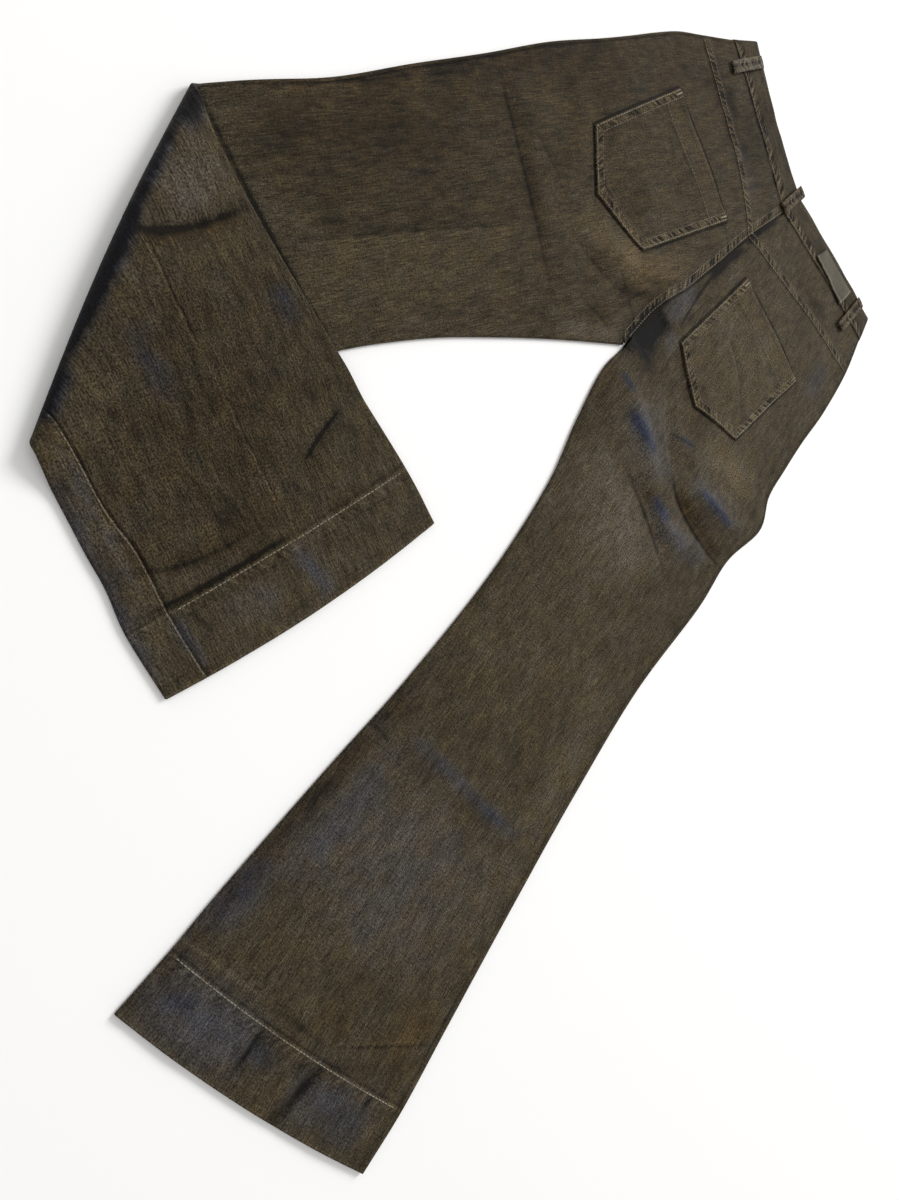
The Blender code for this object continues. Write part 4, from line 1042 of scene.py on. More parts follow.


# ---------------------------------------------------------------------------
# Meshes and their traits

# Traits of the points. Besides the cloth's own tone, blue and warm casts and wear, tone and blue carry
# painted shade and sheen, and the seam and line traits painted shadow and shade.
TRAITS = (
    "tone", "blue", "warm", "wear", "seam_away", "seam_along", "seam_pucker_and_shadow", "line", "line_dark", "line_side"
)
FAR = 0.09  # distance of a seam that plays no part


def nearest_seam(*seams):
    """The nearest of several seams: distance in from it, way along it, and how much it puckers on the lapping
    side and how deep its painted shadow is beside its edge.

    The distance is positive on the cloth that laps over, and negative on what lies beside its edge.
    """
    every = np.broadcast_arrays(*[part for seam in seams for part in seam])
    away, along, pucker_and_shadow = (np.stack(every[start::3]) for start in range(3))
    nearest = np.abs(away).argmin(axis=0)[None]
    return np.stack([np.take_along_axis(part, nearest, 0)[0] for part in (away, along, pucker_and_shadow)], axis=-1)


def sharp_lines(x, y, lines):
    """The nearest sharp line: signed distance in half widths, darkness, and shade beside it.

    The distance is positive on the left of the line. The darkness fades out at the line's two ends,
    and the shade beside it over 14 mm.
    """
    nearest = np.full(x.shape, 30.0)
    dark, side = np.zeros(x.shape), np.zeros(x.shape)
    for row in lines:
        away, place = beside_line(x, y, curve_of(row))
        ends = 1 - np.abs(2 * place - 1) ** 4
        share = away / row[6]
        closer = np.abs(share) < np.abs(nearest)
        nearest = np.where(closer, share, nearest)
        dark = np.where(closer, row[7] * ends, dark)
        side = np.where(closer, row[8] * ends * np.exp(-np.abs(away) / 0.014), side)
    return np.stack([nearest, dark, side], axis=-1)


def painted(points, past):
    """Marks of each point, painted shade and sheen among them, and its sharp lines of painted shade, from the
    tables of the place where it shows.
    """
    x, y = points[..., 0], points[..., 1]
    total = {}
    for folded, marks, lines in ((False, MARKS, LINES), (True, FLAP_MARKS, FLAP_LINES)):
        broad = sum(near_curve(x, y, row)[..., None] * np.array(row[7:11]) for row in marks)
        total[folded] = np.concatenate([broad, sharp_lines(x, y, lines)], axis=-1)
    return np.where((past > -0.006)[..., None], total[True], total[False])


def traits_of(points, past=None, seams=None):
    """All the traits of each point, as columns in the order of their names."""
    past = np.full(points.shape[:-1], -1.0) if past is None else past
    if seams is None:
        seams = np.broadcast_to([FAR, 0.0, 0.0], (*points.shape[:-1], 3))
    paint = painted(points, past)
    return np.concatenate([paint[..., :4], seams, paint[..., 4:]], axis=-1)


def new_object(name, points, faces, material):
    """A smooth mesh with its shared material, in an object linked to the scene."""
    mesh = bpy.data.meshes.new(name)
    mesh.from_pydata(points.tolist(), [], faces)
    mesh.shade_smooth()
    mesh.materials.append(material_named(material))
    obj = bpy.data.objects.new(name, mesh)
    bpy.context.scene.collection.objects.link(obj)
    return obj


def cloth_object(name, points, faces, pattern, traits, wall, material):
    """An object whose wall grows inwards from its outer face, with its pattern map and traits."""
    obj = new_object(name, listed(points), faces.tolist(), material)
    mesh = obj.data
    corners = np.empty(len(mesh.loops), dtype=np.int32)
    mesh.loops.foreach_get("vertex_index", corners)
    mesh.uv_layers.new(name="Pattern").data.foreach_set("uv", listed(pattern)[corners].ravel())
    for trait_name, values in zip(TRAITS, listed(traits).T):
        attribute = mesh.attributes.new(trait_name, "FLOAT", "POINT")
        attribute.data.foreach_set("value", np.ascontiguousarray(values))
    solid = obj.modifiers.new("Wall", "SOLIDIFY")
    solid.thickness = wall
    solid.offset = -1.0
    return obj


def dress(obj, nodes=()):
    """Makes a piece ride on the body and stand for its nodes."""
    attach(obj, "root")
    if nodes:
        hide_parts(*nodes)
    return obj


def add_cloth(name, made, wall, material, node):
    """Adds a piece from its points, faces, pattern and traits, and dresses it; the cut that comes with them
    is not used.
    """
    *surface, cut = made
    dress(cloth_object(name, *surface, wall, material), [node])


# ---------------------------------------------------------------------------
# Materials


def add_node(tree, kind, inputs=None, **settings):
    """A node of that kind: a socket among its inputs is linked, and a plain value is set."""
    node = tree.nodes.new(kind)
    for name, value in settings.items():
        setattr(node, name, value)
    for name, value in (inputs or {}).items():
        if isinstance(value, bpy.types.NodeSocket):
            tree.links.new(value, node.inputs[name])
        else:
            node.inputs[name].default_value = value
    return node


def worked(tree, operation, *values, clamp=False):
    """A Math node's result for one, two or three values."""
    node = add_node(tree, "ShaderNodeMath", dict(enumerate(values)), operation=operation, use_clamp=clamp)
    return node.outputs[0]


def times(tree, one, other):
    """The product of two values."""
    return worked(tree, "MULTIPLY", one, other)


def clamped(tree, value):
    """The value kept between 0 and 1."""
    return worked(tree, "ADD", value, 0.0, clamp=True)


def blended(tree, share, one, other, kind="MIX"):
    """The mix of two colours by a share from 0 to 1."""
    inputs = {"Factor": share, 6: one, 7: other}
    return add_node(tree, "ShaderNodeMix", inputs, data_type="RGBA", blend_type=kind).outputs[2]


def toned(tree, light, colour, dark, pale=1.0):
    """From a darker to a paler tone of one colour, by a light kept between 0 and 1."""
    low, high = ((*(part * tone for part in colour), 1) for tone in (dark, pale))
    return blended(tree, clamped(tree, light), low, high)


def grains(tree, source, size, detail=2.0, roughness=0.6):
    """Noise about -1 to 1: round grains of one size, or flat ones of a width and a length."""
    flat = isinstance(size, tuple)
    scale = (1 / size[0], 1 / size[1], 1.0) if flat else (1 / size,) * 3
    placed = add_node(tree, "ShaderNodeMapping", {"Vector": source, "Scale": scale}).outputs[0]
    inputs = {"Vector": placed, "Scale": 1.0, "Detail": detail, "Roughness": roughness}
    noise = add_node(tree, "ShaderNodeTexNoise", inputs, noise_dimensions="2D" if flat else "3D")
    return times(tree, worked(tree, "SUBTRACT", noise.outputs[0], 0.5), 4.0)


def on_object(tree):
    """The place of each point in metres, as a socket."""
    return add_node(tree, "ShaderNodeTexCoord").outputs["Object"]


def trait(tree, name):
    """A trait of the points, by its name."""
    return add_node(tree, "ShaderNodeAttribute", attribute_name=name).outputs["Fac"]


def sum_of(tree, *pairs):
    """Weighted sum of values: pairs of a socket and its weight, after a first plain number."""
    total = pairs[0]
    for socket, weight in pairs[1:]:
        total = worked(tree, "MULTIPLY_ADD", socket, weight, total)
    return total


def new_material(name):
    """An empty material and its node tree."""
    material = bpy.data.materials.new(name)
    material.use_nodes = True
    material.node_tree.nodes.clear()
    return material, material.node_tree


def finish_material(tree, colour, roughness, bump_height, bump_depth, **constants):
    """Principled shader with its constants on its own sockets, and bump from the height."""
    bump = add_node(tree, "ShaderNodeBump", {"Height": bump_height, "Distance": bump_depth, "Strength": 1.0})
    inputs = {"Base Color": colour, "Roughness": roughness, "Normal": bump.outputs[0]}
    inputs.update({name.replace("_", " "): value for name, value in constants.items()})
    shader = add_node(tree, "ShaderNodeBsdfPrincipled", inputs)
    add_node(tree, "ShaderNodeOutputMaterial", {"Surface": shader.outputs[0]})


def bell(tree, value, centre, half_width):
    """exp(-((value - centre) / half_width) squared)."""
    share = worked(tree, "DIVIDE", worked(tree, "SUBTRACT", value, centre), half_width)
    return worked(tree, "EXPONENT", times(tree, times(tree, share, share), -1.0))


def held_between(tree, value, low, high):
    """The value kept between two others."""
    return worked(tree, "MINIMUM", worked(tree, "MAXIMUM", value, low), high)


def seam_shade(tree, fleck):
    """Shade of a lapped seam, and the height of its puckers.

    The puckers are noise drawn out across the seam's band. The very edge is worn pale, the cloth just
    outside it gets a painted shadow, and the groove of the second row of stitching is painted darker, as
    painted shade. The third trait is how strong the puckers are on the lapping side, and how deep the
    painted shadow is beside it.
    """
    away, along, pucker_and_shadow = (trait(tree, name) for name in ("seam_away", "seam_along", "seam_pucker_and_shadow"))
    slanted = worked(tree, "MULTIPLY_ADD", away, 0.8, along)
    place = add_node(tree, "ShaderNodeCombineXYZ", {"X": slanted, "Y": away}).outputs[0]
    waves = grains(tree, place, (0.0040, 0.0170), 1.5, 0.55)
    pucker = times(tree, times(tree, bell(tree, away, 0.0052, 0.0038), pucker_and_shadow), waves)
    worn = sum_of(tree, 0.50, (fleck, 0.30), (waves, 0.35))
    edge = times(tree, bell(tree, away, 0.0012, 0.0011), worn)
    groove = bell(tree, away, 0.0088, 0.0009)
    shadow = times(tree, bell(tree, away, -0.0012, 0.0014), pucker_and_shadow)
    shade = sum_of(tree, 0.0, (pucker, 1.05), (edge, 1.0), (groove, -0.20), (shadow, -1.0))
    return shade, pucker


def line_shade(tree, fleck):
    """Shade of the sharp lines: a dark or pale core with an uneven edge, and a step of shade beside it."""
    line, dark, side = (trait(tree, name) for name in ("line", "line_dark", "line_side"))
    core = bell(tree, worked(tree, "MULTIPLY_ADD", fleck, 0.22, line), 0.0, 1.0)
    step = times(tree, held_between(tree, line, -1.0, 1.0), side)
    return worked(tree, "SUBTRACT", step, times(tree, core, dark))


def denim_material(name, finish, lift):
    """Coated denim: flecks drawn out along the warp, a twill's diagonal, clouds, worn traits, and the painted
    shade, shadow and sheen that its traits carry.
    """
    material, tree = new_material(name)
    pattern = add_node(tree, "ShaderNodeUVMap", uv_map="Pattern").outputs[0]
    place = on_object(tree)
    streak = grains(tree, pattern, (0.0012, 0.0150))
    cross = grains(tree, pattern, (0.0075, 0.0016))
    fleck = grains(tree, pattern, (0.0012, 0.0016), 2.0, 0.75)
    dashes = grains(tree, pattern, (0.0012, 0.0036), 1.0, 0.5)
    dashes = add_node(tree, "ShaderNodeMapRange", {"Value": dashes, 1: 0.45, 2: 1.1}).outputs[0]
    cloud = grains(tree, place, 0.040, 3.0)
    blot = grains(tree, place, 0.011)
    hue = grains(tree, place, 0.019, 2.0, 0.55)
    drawn = grains(tree, pattern, (0.0065, 0.0280))
    turned = add_node(tree, "ShaderNodeMapping", {"Vector": pattern, "Rotation": (0, 0, math.radians(63))})
    diagonals = {"Vector": turned.outputs[0], "Scale": 1 / 0.0052, "Distortion": 0.6}
    twill = add_node(tree, "ShaderNodeTexWave", diagonals).outputs["Fac"]
    tone, blue, warm, wear = (trait(tree, trait_name) for trait_name in TRAITS[:4])
    seams, pucker = seam_shade(tree, fleck)
    lines = line_shade(tree, fleck)

    grainy = times(tree, fleck, worked(tree, "MULTIPLY_ADD", wear, 0.62, 0.40))
    light = sum_of(tree, 0.31 + lift, (streak, 0.25), (cross, 0.08), (grainy, 1.0), (dashes, 0.42))
    light = sum_of(tree, light, (wear, 0.06), (pucker, 0.20), (tone, 0.12), (twill, 0.04))
    light = clamped(tree, light)
    ground = blended(tree, light, (*finish.denim_dark, 1), (*finish.denim_light, 1))
    speckle = add_node(tree, "ShaderNodeMapRange", {"Value": light, 3: 0.35, 4: 1.9}).outputs[0]
    # the blue cast is partly a painted sheen, and where the blue trait is high it turns navy, a painted shade
    cast = sum_of(tree, 0.0, (blue, 0.90), (times(tree, blue, fleck), 0.30), (hue, 0.10))
    deep = add_node(tree, "ShaderNodeMapRange", {"Value": blue, 1: 0.6, 2: 0.95}).outputs[0]
    bluish = blended(tree, deep, (*finish.denim_blue, 1), (*finish.denim_navy, 1))
    bluish = blended(tree, 1.0, bluish, speckle, "MULTIPLY")
    coloured = blended(tree, held_between(tree, cast, 0.0, 1.0), ground, bluish)
    rusty = blended(tree, 1.0, (*finish.denim_warm, 1), speckle, "MULTIPLY")
    warmth = sum_of(tree, 0.02, (warm, 0.60), (times(tree, warm, blot), 0.25), (hue, -0.20))
    coloured = blended(tree, held_between(tree, warmth, 0.0, 1.0), coloured, rusty)
    # the tone, the seams and the sharp lines scale the colour: painted shade, shadow and highlight among
    # them, beside the cloth's own tone
    gain = sum_of(tree, 1.0, (tone, 0.85), (cloud, 0.20), (blot, 0.16), (drawn, 0.24))
    gain = sum_of(tree, gain, (seams, 0.85), (lines, 1.0))
    coloured = blended(tree, 1.0, coloured, held_between(tree, gain, 0.14, 3.0), "MULTIPLY")

    height = sum_of(tree, 0.0, (streak, 0.25), (cross, 0.12), (fleck, 0.25), (twill, 0.30), (pucker, 0.9))
    rough = sum_of(tree, 0.84, (streak, 0.03), (wear, 0.05), (blue, -0.06))
    sheen = {"Sheen_Weight": 0.03, "Sheen_Roughness": 0.45, "Sheen_Tint": (0.9, 0.88, 0.85, 1)}
    finish_material(tree, coloured, rough, height, 0.00030, Specular_IOR_Level=0.12, **sheen)
    return material


def thread_material(name, colour):
    """Twisted cotton thread: darker in its twist and a little uneven along the seams."""
    material, tree = new_material(name)
    place = on_object(tree)
    twist = grains(tree, place, 0.0005, 1.0, 0.5)
    worn = grains(tree, place, 0.012)
    tinted = toned(tree, sum_of(tree, 0.42, (twist, 0.2), (worn, 0.55)), colour, 0.35)
    rough = sum_of(tree, 0.70, (twist, 0.05))
    finish_material(tree, tinted, rough, twist, 0.0001, Specular_IOR_Level=0.3)
    return material


def patch_material(finish):
    """Worn board: fine grain, soft stains and darker edges."""
    material, tree = new_material("patch_board")
    place = on_object(tree)
    grain = grains(tree, place, 0.0012, 3.0, 0.7)
    stain = grains(tree, place, 0.012, 3.0)
    light = sum_of(tree, 0.32, (grain, 0.08), (stain, 0.08), (trait(tree, "tone"), 0.5))
    tinted = toned(tree, light, finish.patch, 0.35, 2.4)
    rough = sum_of(tree, 0.75, (grain, 0.05))
    height = sum_of(tree, 0.0, (grain, 0.4), (stain, 0.5))
    finish_material(tree, tinted, rough, height, 0.0003, Specular_IOR_Level=0.12)
    return material


def floor_material(finish):
    """Matt pale board with a barely uneven tone."""
    material, tree = new_material("studio_floor")
    uneven = grains(tree, on_object(tree), 0.4, 2.0, 0.5)
    tinted = toned(tree, sum_of(tree, 0.9, (uneven, 0.03)), finish.floor, 0.9)
    finish_material(tree, tinted, 0.9, uneven, 0.0001, Specular_IOR_Level=0.1)
    return material


def material_named(name):
    """A shared material, made when it is first asked for."""
    if name in bpy.data.materials:
        return bpy.data.materials[name]
    finish = bpy.context.scene.jeans_finish
    makers = {
        "panel_denim": lambda: denim_material("panel_denim", finish, 0.0),
        "trim_denim": lambda: denim_material("trim_denim", finish, 0.05),
        "pale_thread": lambda: thread_material("pale_thread", finish.thread_pale),
        "tonal_thread": lambda: thread_material("tonal_thread", finish.thread_tonal),
        "patch_board": lambda: patch_material(finish),
        "studio_floor": lambda: floor_material(finish),
    }
    return makers[name]()


# ---------------------------------------------------------------------------
# Panels and yokes


def leg_seams(side, piece, row, round_, x, y):
    """The nearest seam of a leg's point: which ones play a part goes by the piece."""
    laps = 1.0 if side == "left" else -1.0
    across, along = np.moveaxis(grain_of(side, x, y), -1, 0)
    # the third value of each seam: how much it puckers on the lapping side, and how dark its painted shadow
    # is on the other
    hem = (row - HEM_STITCH) * HEM_DEPTH, across, 0.4
    hem_edge = (HEM - row) * HEM_DEPTH, across, 0.0
    flat = leg_width(side, row) - EDGE - inner_inset(row)
    if piece in ("front", "strip"):
        reach = (-1 - round_) * flat if piece == "strip" else (3 - round_) * flat + inner_inset(row) - EDGE
        inside = np.where(row > CROTCH, inseam_wrap(row) - EDGE - reach, FAR)
        outer = np.clip(round_ - 1.5, -0.5, 0.5) * math.pi * EDGE + np.maximum(round_ - 2, 0) * flat
        outer = np.where(round_ > 0, outer, FAR)
        inseam = inside, along, 0.7 if piece == "front" else 0.3
        return nearest_seam(inseam, (outer, along, 0.0), hem, hem_edge)
    seat_away, seat_place = nearest_on(x, y, seam_plan(side, "seat"))
    seat_away = np.where(row < CROTCH, seat_away, FAR)
    yoke_away, yoke_place = nearest_on(x, y, seam_plan(side, "yoke"))
    outer = -(outseam(side, row) - round_) * flat - 0.001
    seams = [(laps * seat_away, 0.33 * seat_place, 1.5 if side == "left" else 1.0), (outer, along, 0.5)]
    if piece == "yoke":
        band_away, band_place = nearest_on(x, y, seam_plan(side, "band"))
        return nearest_seam(*seams, (yoke_away, 0.25 * yoke_place, 1.3), (-band_away, 0.25 * band_place, 0.6))
    outline = np.array([*POCKETS[side], POCKETS[side][0]])
    seams += [(*beside_line(x, y, outline), 1.0), hem, hem_edge]
    return nearest_seam(*seams, (-yoke_away, 0.25 * yoke_place, 0.35))


def leg_grid(side, piece, row, round_):
    """Flat points, lying points, pattern places and traits of a grid of a leg."""
    row, round_ = np.broadcast_arrays(np.asarray(row, float), np.asarray(round_, float))
    flat = tube(side, row, round_)
    shown = fold_over(flat) if side == "left" else flat
    x, y = flat[..., 0], flat[..., 1]
    past = mirrored_in_fold(x, y)[2] if side == "left" else None
    traits = traits_of(shown, past, leg_seams(side, piece, row, round_, x, y))
    return flat, shown, grain_of(side, x, y), traits


def back_panel(side, sizes):
    """The back panel: the upper side from the yoke to the hem, and its strip round the inner edge."""
    row = leg_rows(side, "back", YOKE_SEAM, sizes)
    across = grid_columns(0.25, sizes, 0.013, 0.006)
    flat, shown, pattern, traits = leg_grid(side, "back", row[:, None], across * outseam(side, row)[:, None])
    shown = drawn_in(shown, ("top", "right"))
    above = row < CROTCH
    shown[above, 0] = drawn_in(shown[above], ("left",))[:, 0]

    low = row[~above]
    reach = -1 - (inseam_wrap(low) - EDGE - INSEAM_GAP / 2) / (leg_width(side, low) - 2 * EDGE)
    under = reach[:, None] + (-1 - reach[:, None]) * np.linspace(0, 1, 15)[:-1]
    arc = np.broadcast_to(np.linspace(-1, 0, 9), (len(low), 9))
    strip = leg_grid(side, "strip", low[:, None], np.concatenate([under, arc], axis=1))

    # the strip's last column is the upper side's first one
    strip_shown, strip_pattern, strip_traits = (grid[:, :-1] for grid in strip[1:])
    index = numbered(shown.shape)
    beside = np.concatenate([numbered(strip_shown.shape, index.size), index[~above, :1]], axis=1)
    faces = facing_out(side, np.concatenate([faces_of(index), faces_of(beside)]))
    pattern, traits = listed(pattern, strip_pattern), listed(traits, strip_traits)
    return listed(shown, strip_shown), faces, pattern, traits, cut_size(flat, strip[0])


def front_dip(share):
    """How far the front's waist lies below the back's: 1 at the centre front, 0 at the sides."""
    return np.cos(math.pi / 2 * np.clip(share, 0, 1)) ** 2


def front_panel(side, sizes):
    """The front panel: from the outseam round the outer edge, and the under side."""
    coarse = 0.85 if side == "left" else 3.2
    row = leg_rows(side, "front", BAND_SEAM, sizes)
    wrap = np.where(row < CROTCH, 0.0, inseam_wrap(row))
    inset = inner_inset(row)
    far = 3 - (wrap - inset) / (leg_width(side, row) - EDGE - inset)
    under = 2 + (far[:, None] - 2) * grid_columns(0.23, sizes, 0.004, 0.008, coarse)[1:]
    arc = np.broadcast_to(np.linspace(1, 2, 9), (len(row), 9))
    round_ = np.concatenate([outseam(side, row)[:, None], arc, under], axis=1)
    # the waist dips at the centre front, and the rows down to the yoke's share the space left
    dip = FRONT_DIP[1] * front_dip(3 - np.clip(round_, 2, 3))
    dipped = row[:, None] + dip * np.clip(YOKE_SEAM - row, 0, 1)[:, None]
    flat, shown, pattern, traits = leg_grid(side, "front", dipped, round_)
    shown = drawn_in(drawn_in(shown, ("top", "left")), ("right",), INSEAM_GAP)
    return shown, facing_out(side, faces_of(numbered(shown.shape))), pattern, traits, cut_size(flat)


def yoke(side, sizes):
    """The yoke: the upper side between the waistband and the back panel."""
    row = grid_rows(side, "yoke", BAND_SEAM, YOKE_SEAM, sizes)
    across = grid_columns(0.22, sizes, 0.016, 0.006, 0.7)
    flat, shown, pattern, traits = leg_grid(side, "yoke", row[:, None], across * outseam(side, row)[:, None])
    shown = drawn_in(shown, ("top", "bottom", "left", "right"))
    return shown, facing_out(side, faces_of(numbered(shown.shape))), pattern, traits, cut_size(flat)


# ---------------------------------------------------------------------------
# Waistband


def band_point(side, row, share, under):
    """A flat run of the waistband, by row and by share of the way out from the centre.

    Above, the height is level, less the droop at the centre back, a rounding of its free edge, the
    grooves of its two stitch rows, and puckers that die away from the lower seam.
    """
    row, share = np.broadcast_arrays(np.asarray(row, float), np.asarray(share, float))
    inner, across, width, bow, _ = row_frame(side, row)
    part = share * (width - EDGE) / width
    plan = inner + across * (part * width)[..., None] + 4 * (part * (1 - part))[..., None] * bow
    if under:
        return raised(plan, np.zeros_like(part))
    x, y = plan[..., 0], plan[..., 1]
    from_top, from_seam = row * BAND_DEPTH, (1 - row) * BAND_DEPTH
    droop = BAND_DROOP * (1 - row) * front_dip(share)
    rounding = 0.0006 * (np.exp(-from_top / 0.0007) + 0.5 * np.exp(-from_seam / 0.0007))
    top_row, seam_row = BAND_ROWS
    groove = 0.00025 * (near_line(from_top, top_row, 0.0007) + near_line(from_seam, seam_row, 0.0007))
    fade = soft_step((1 - share) / 0.08)
    waves = 0.6 * slack(x, y) + 0.0003 * ripple(x, y, 0.045, 7)
    height = LAID + BAND_RISE - droop - rounding - groove
    return raised(plan, height + fade * (0.00022 * band_pucker(x, y, from_seam) + waves))


def band_pucker(x, y, from_seam):
    """Puckers of the waistband beside its lower seam."""
    along = WAIST_LINE[0] * x + WAIST_LINE[1] * y
    return uneven_wave(along, 0.0085, (1.5, 57), (1.1, 131)) * near_line(from_seam, 0.004, 0.005)


def waistband(sizes):
    """A flattened ring: across the back, round one side, back under the front, round the other."""
    rows = grid_columns(BAND_DEPTH, sizes, 0.006, 0.006, 0.6)
    half = (LAID + BAND_RISE) / 2
    turns = np.linspace(math.pi / 2, -math.pi / 2, 10)[1:-1, None, None]
    runs = {}
    for side in SIDES:
        share, row = np.meshgrid(np.linspace(0, 1, 121), rows)
        upper = band_point(side, row, share, False)
        share, row = np.meshgrid(np.linspace(0, 1, 31), rows)
        edge_dip, seam_dip = (part * front_dip(share) for part in FRONT_DIP)
        under = band_point(side, edge_dip + row * (1 + seam_dip - edge_dip), share, True)
        outward = raised(row_frame(side, rows)[1], np.zeros(len(rows)))
        middle = (upper[:, -1] + under[:, -1]) / 2
        height = (upper[:, -1, 2] - under[:, -1, 2])[:, None] / 2
        arc = middle + half * np.cos(turns) * outward + height * np.sin(turns) * np.array([0, 0, 1])
        runs[side] = upper, np.moveaxis(arc, 0, 1), under
    (left_up, left_arc, left_under), (right_up, right_arc, right_under) = runs["left"], runs["right"]
    across_back = [left_up[:, ::-1], right_up[:, 1:], right_arc]
    under_front = [right_under[:, ::-1], left_under[:, 1:], left_arc[:, ::-1]]
    ring = drawn_in(np.concatenate(across_back + under_front, axis=1), ("bottom",))
    index = numbered(ring.shape)
    faces = faces_of(np.concatenate([index, index[:, :1]], axis=1))[:, ::-1]

    along = np.broadcast_to(way_along(ring[0]), ring.shape[:2])
    depth = np.broadcast_to((rows * BAND_DEPTH)[:, None], ring.shape[:2])
    traits = traits_of(ring, seams=nearest_seam((BAND_DEPTH - depth, along, 1.5)))
    traits[..., 0] -= 0.20
    traits[..., 2] += 0.16
    closed = np.concatenate([ring, ring[:, :1]], axis=1)
    return ring, faces, np.stack([depth, along], axis=-1), traits, cut_size(closed)


# ---------------------------------------------------------------------------
# Pockets, patch and loops, which lie on the panels


def found(plan_of, first, second, x, y):
    """The two parameters of a surface over points of the plan, by eight Newton steps."""
    one, two = np.full_like(x, first), np.full_like(x, second)
    step = 1e-4
    for _ in range(8):
        here = plan_of(one, two)
        by_one = (plan_of(one + step, two) - here) / step
        by_two = (plan_of(one, two + step) - here) / step
        miss = np.stack([x, y], axis=-1) - here
        area = by_one[..., 0] * by_two[..., 1] - by_one[..., 1] * by_two[..., 0]
        one = one + (miss[..., 0] * by_two[..., 1] - miss[..., 1] * by_two[..., 0]) / area
        two = two + (by_one[..., 0] * miss[..., 1] - by_one[..., 1] * miss[..., 0]) / area
        two = np.clip(two, 0.0, 1.0)
    return one, two


def leg_top(side, x, y, row=3.5, round_=0.5):
    """Height of a leg's upper side over points of the plan."""
    row, round_ = found(lambda one, two: leg_plan(side, one, two)[0], row, round_, x, y)
    return tube(side, row, round_)[..., 2]


def band_top(side, x, y):
    """Height of the waistband's upper side over points of the plan."""
    row, share = found(lambda one, two: band_point(side, one, two, False)[..., :2], 0.5, 0.4, x, y)
    return band_point(side, row, share, False)[..., 2]


def cross_of(one, other):
    """Third component of the cross product of two plan vectors."""
    return one[..., 0] * other[..., 1] - one[..., 1] * other[..., 0]


def inset(corners, distance):
    """The corners of an open outline moved inwards: each where its two shifted sides meet."""
    corners = np.array(corners)
    sides = unit(np.diff(corners, axis=0))
    turn = np.sign(cross_of(sides[0], corners.mean(axis=0) - corners[0]))
    inward = turn * to_left(sides)
    before, after = inward[:-1], inward[1:]
    moved = corners[1:-1] + distance * (before + after) / (1 + (before * after).sum(axis=1))[:, None]
    mouth = unit(corners[-1] - corners[0])
    start = corners[0] + mouth * distance / abs(mouth @ inward[0])
    end = corners[-1] - mouth * distance / abs(mouth @ inward[-1])
    return np.concatenate([[start], moved, [end]])


def pocket_distances(side, x, y):
    """Distances in from the sewn edges, along them, and in from the mouth."""
    outline = np.array(POCKETS[side])
    edge, place = nearest_on(x, y, outline)
    inward = -to_left(unit(outline[-1] - outline[0]))
    inward = inward if inward @ (outline[2] - outline[0]) > 0 else -inward
    from_mouth = (np.stack([x, y], axis=-1) - outline[0]) @ inward
    corner = place * (len(outline) - 1)
    return edge, np.interp(corner, np.arange(len(outline)), way_along(outline)), from_mouth


def pocket_form(side, x, y):
    """How far a pocket stands above its panel.

    The turned-in edges and the hem at the mouth are a layer thicker, the very edge is rounded, and
    between the two rows of stitching the cloth is puckered crosswise.
    """
    edge, along, from_mouth = pocket_distances(side, x, y)
    band = 1 - soft_step((edge - 0.0095) / 0.003)
    hem = 1 - soft_step((from_mouth - POCKET_HEM_DEPTH) / 0.006)
    pucker = uneven_wave(along, 0.0058, (1.4, 63), (0.8, 157)) * near_line(edge, 0.0050, 0.0030)
    pucker = pucker * (0.7 + 0.3 * np.sin(along * 41))
    height = TRIM_LIFT + 0.0004 * band + 0.0003 * hem + 0.00022 * pucker
    height -= 0.0008 * np.exp(-edge / 0.0006)
    height -= 0.0002 * (near_line(edge, POCKET_ROWS[0], GROOVE) + near_line(edge, POCKET_ROWS[1], 0.0007))
    height -= 0.00012 * near_line(from_mouth, POCKET_HEM_DEPTH, 0.0010)
    height -= 0.0007 * np.exp(-np.maximum(from_mouth, 0) / 0.0007)
    height += 0.0006 * ripple(x, y, 0.06, 11) * soft_step((edge - 0.008) / 0.02)
    return height


def pocket(side, sizes):
    """A back pocket: lines ruled from the mouth to the two lower edges, laid on its panel."""
    a, b, c, d, e = (np.array(corner) for corner in POCKETS[side])
    share = grid_columns(0.135, sizes, 0.012, 0.012, 0.75)
    down = grid_columns(0.150, sizes, 0.006, 0.012, 0.75)
    share = np.unique(np.append(share, 0.5))[None, :, None]
    low = np.where(share < 0.5, b + (c - b) * 2 * share, c + (d - c) * (2 * share - 1))
    top = a + (e - a) * share + MOUTH_BOW * 4 * share * (1 - share) * unit(c - (a + e) / 2)
    plan = top + (low - top) * down[:, None, None]
    x, y = plan[..., 0], plan[..., 1]
    points = raised(plan, pocket_top(side)(x, y))
    edge, along, from_mouth = pocket_distances(side, x, y)
    traits = traits_of(points, seams=nearest_seam((edge, along, 1.0), (from_mouth, along, 0.15)))
    traits[..., 0] -= 0.14 * near_line(from_mouth, POCKET_HEM_DEPTH + 0.003, 0.0035)
    traits[..., 2] += 0.25 * near_line(from_mouth, POCKET_HEM_DEPTH / 2, 0.012)
    traits[..., 3] += 0.30
    faces = faces_of(numbered(points.shape))
    up = cross_of(plan[0, 1] - plan[0, 0], plan[1, 0] - plan[0, 0]) > 0
    faces = faces if up else faces[:, ::-1]
    return points, faces, grain_of(side, x, y), traits, cut_size(in_plan(points))


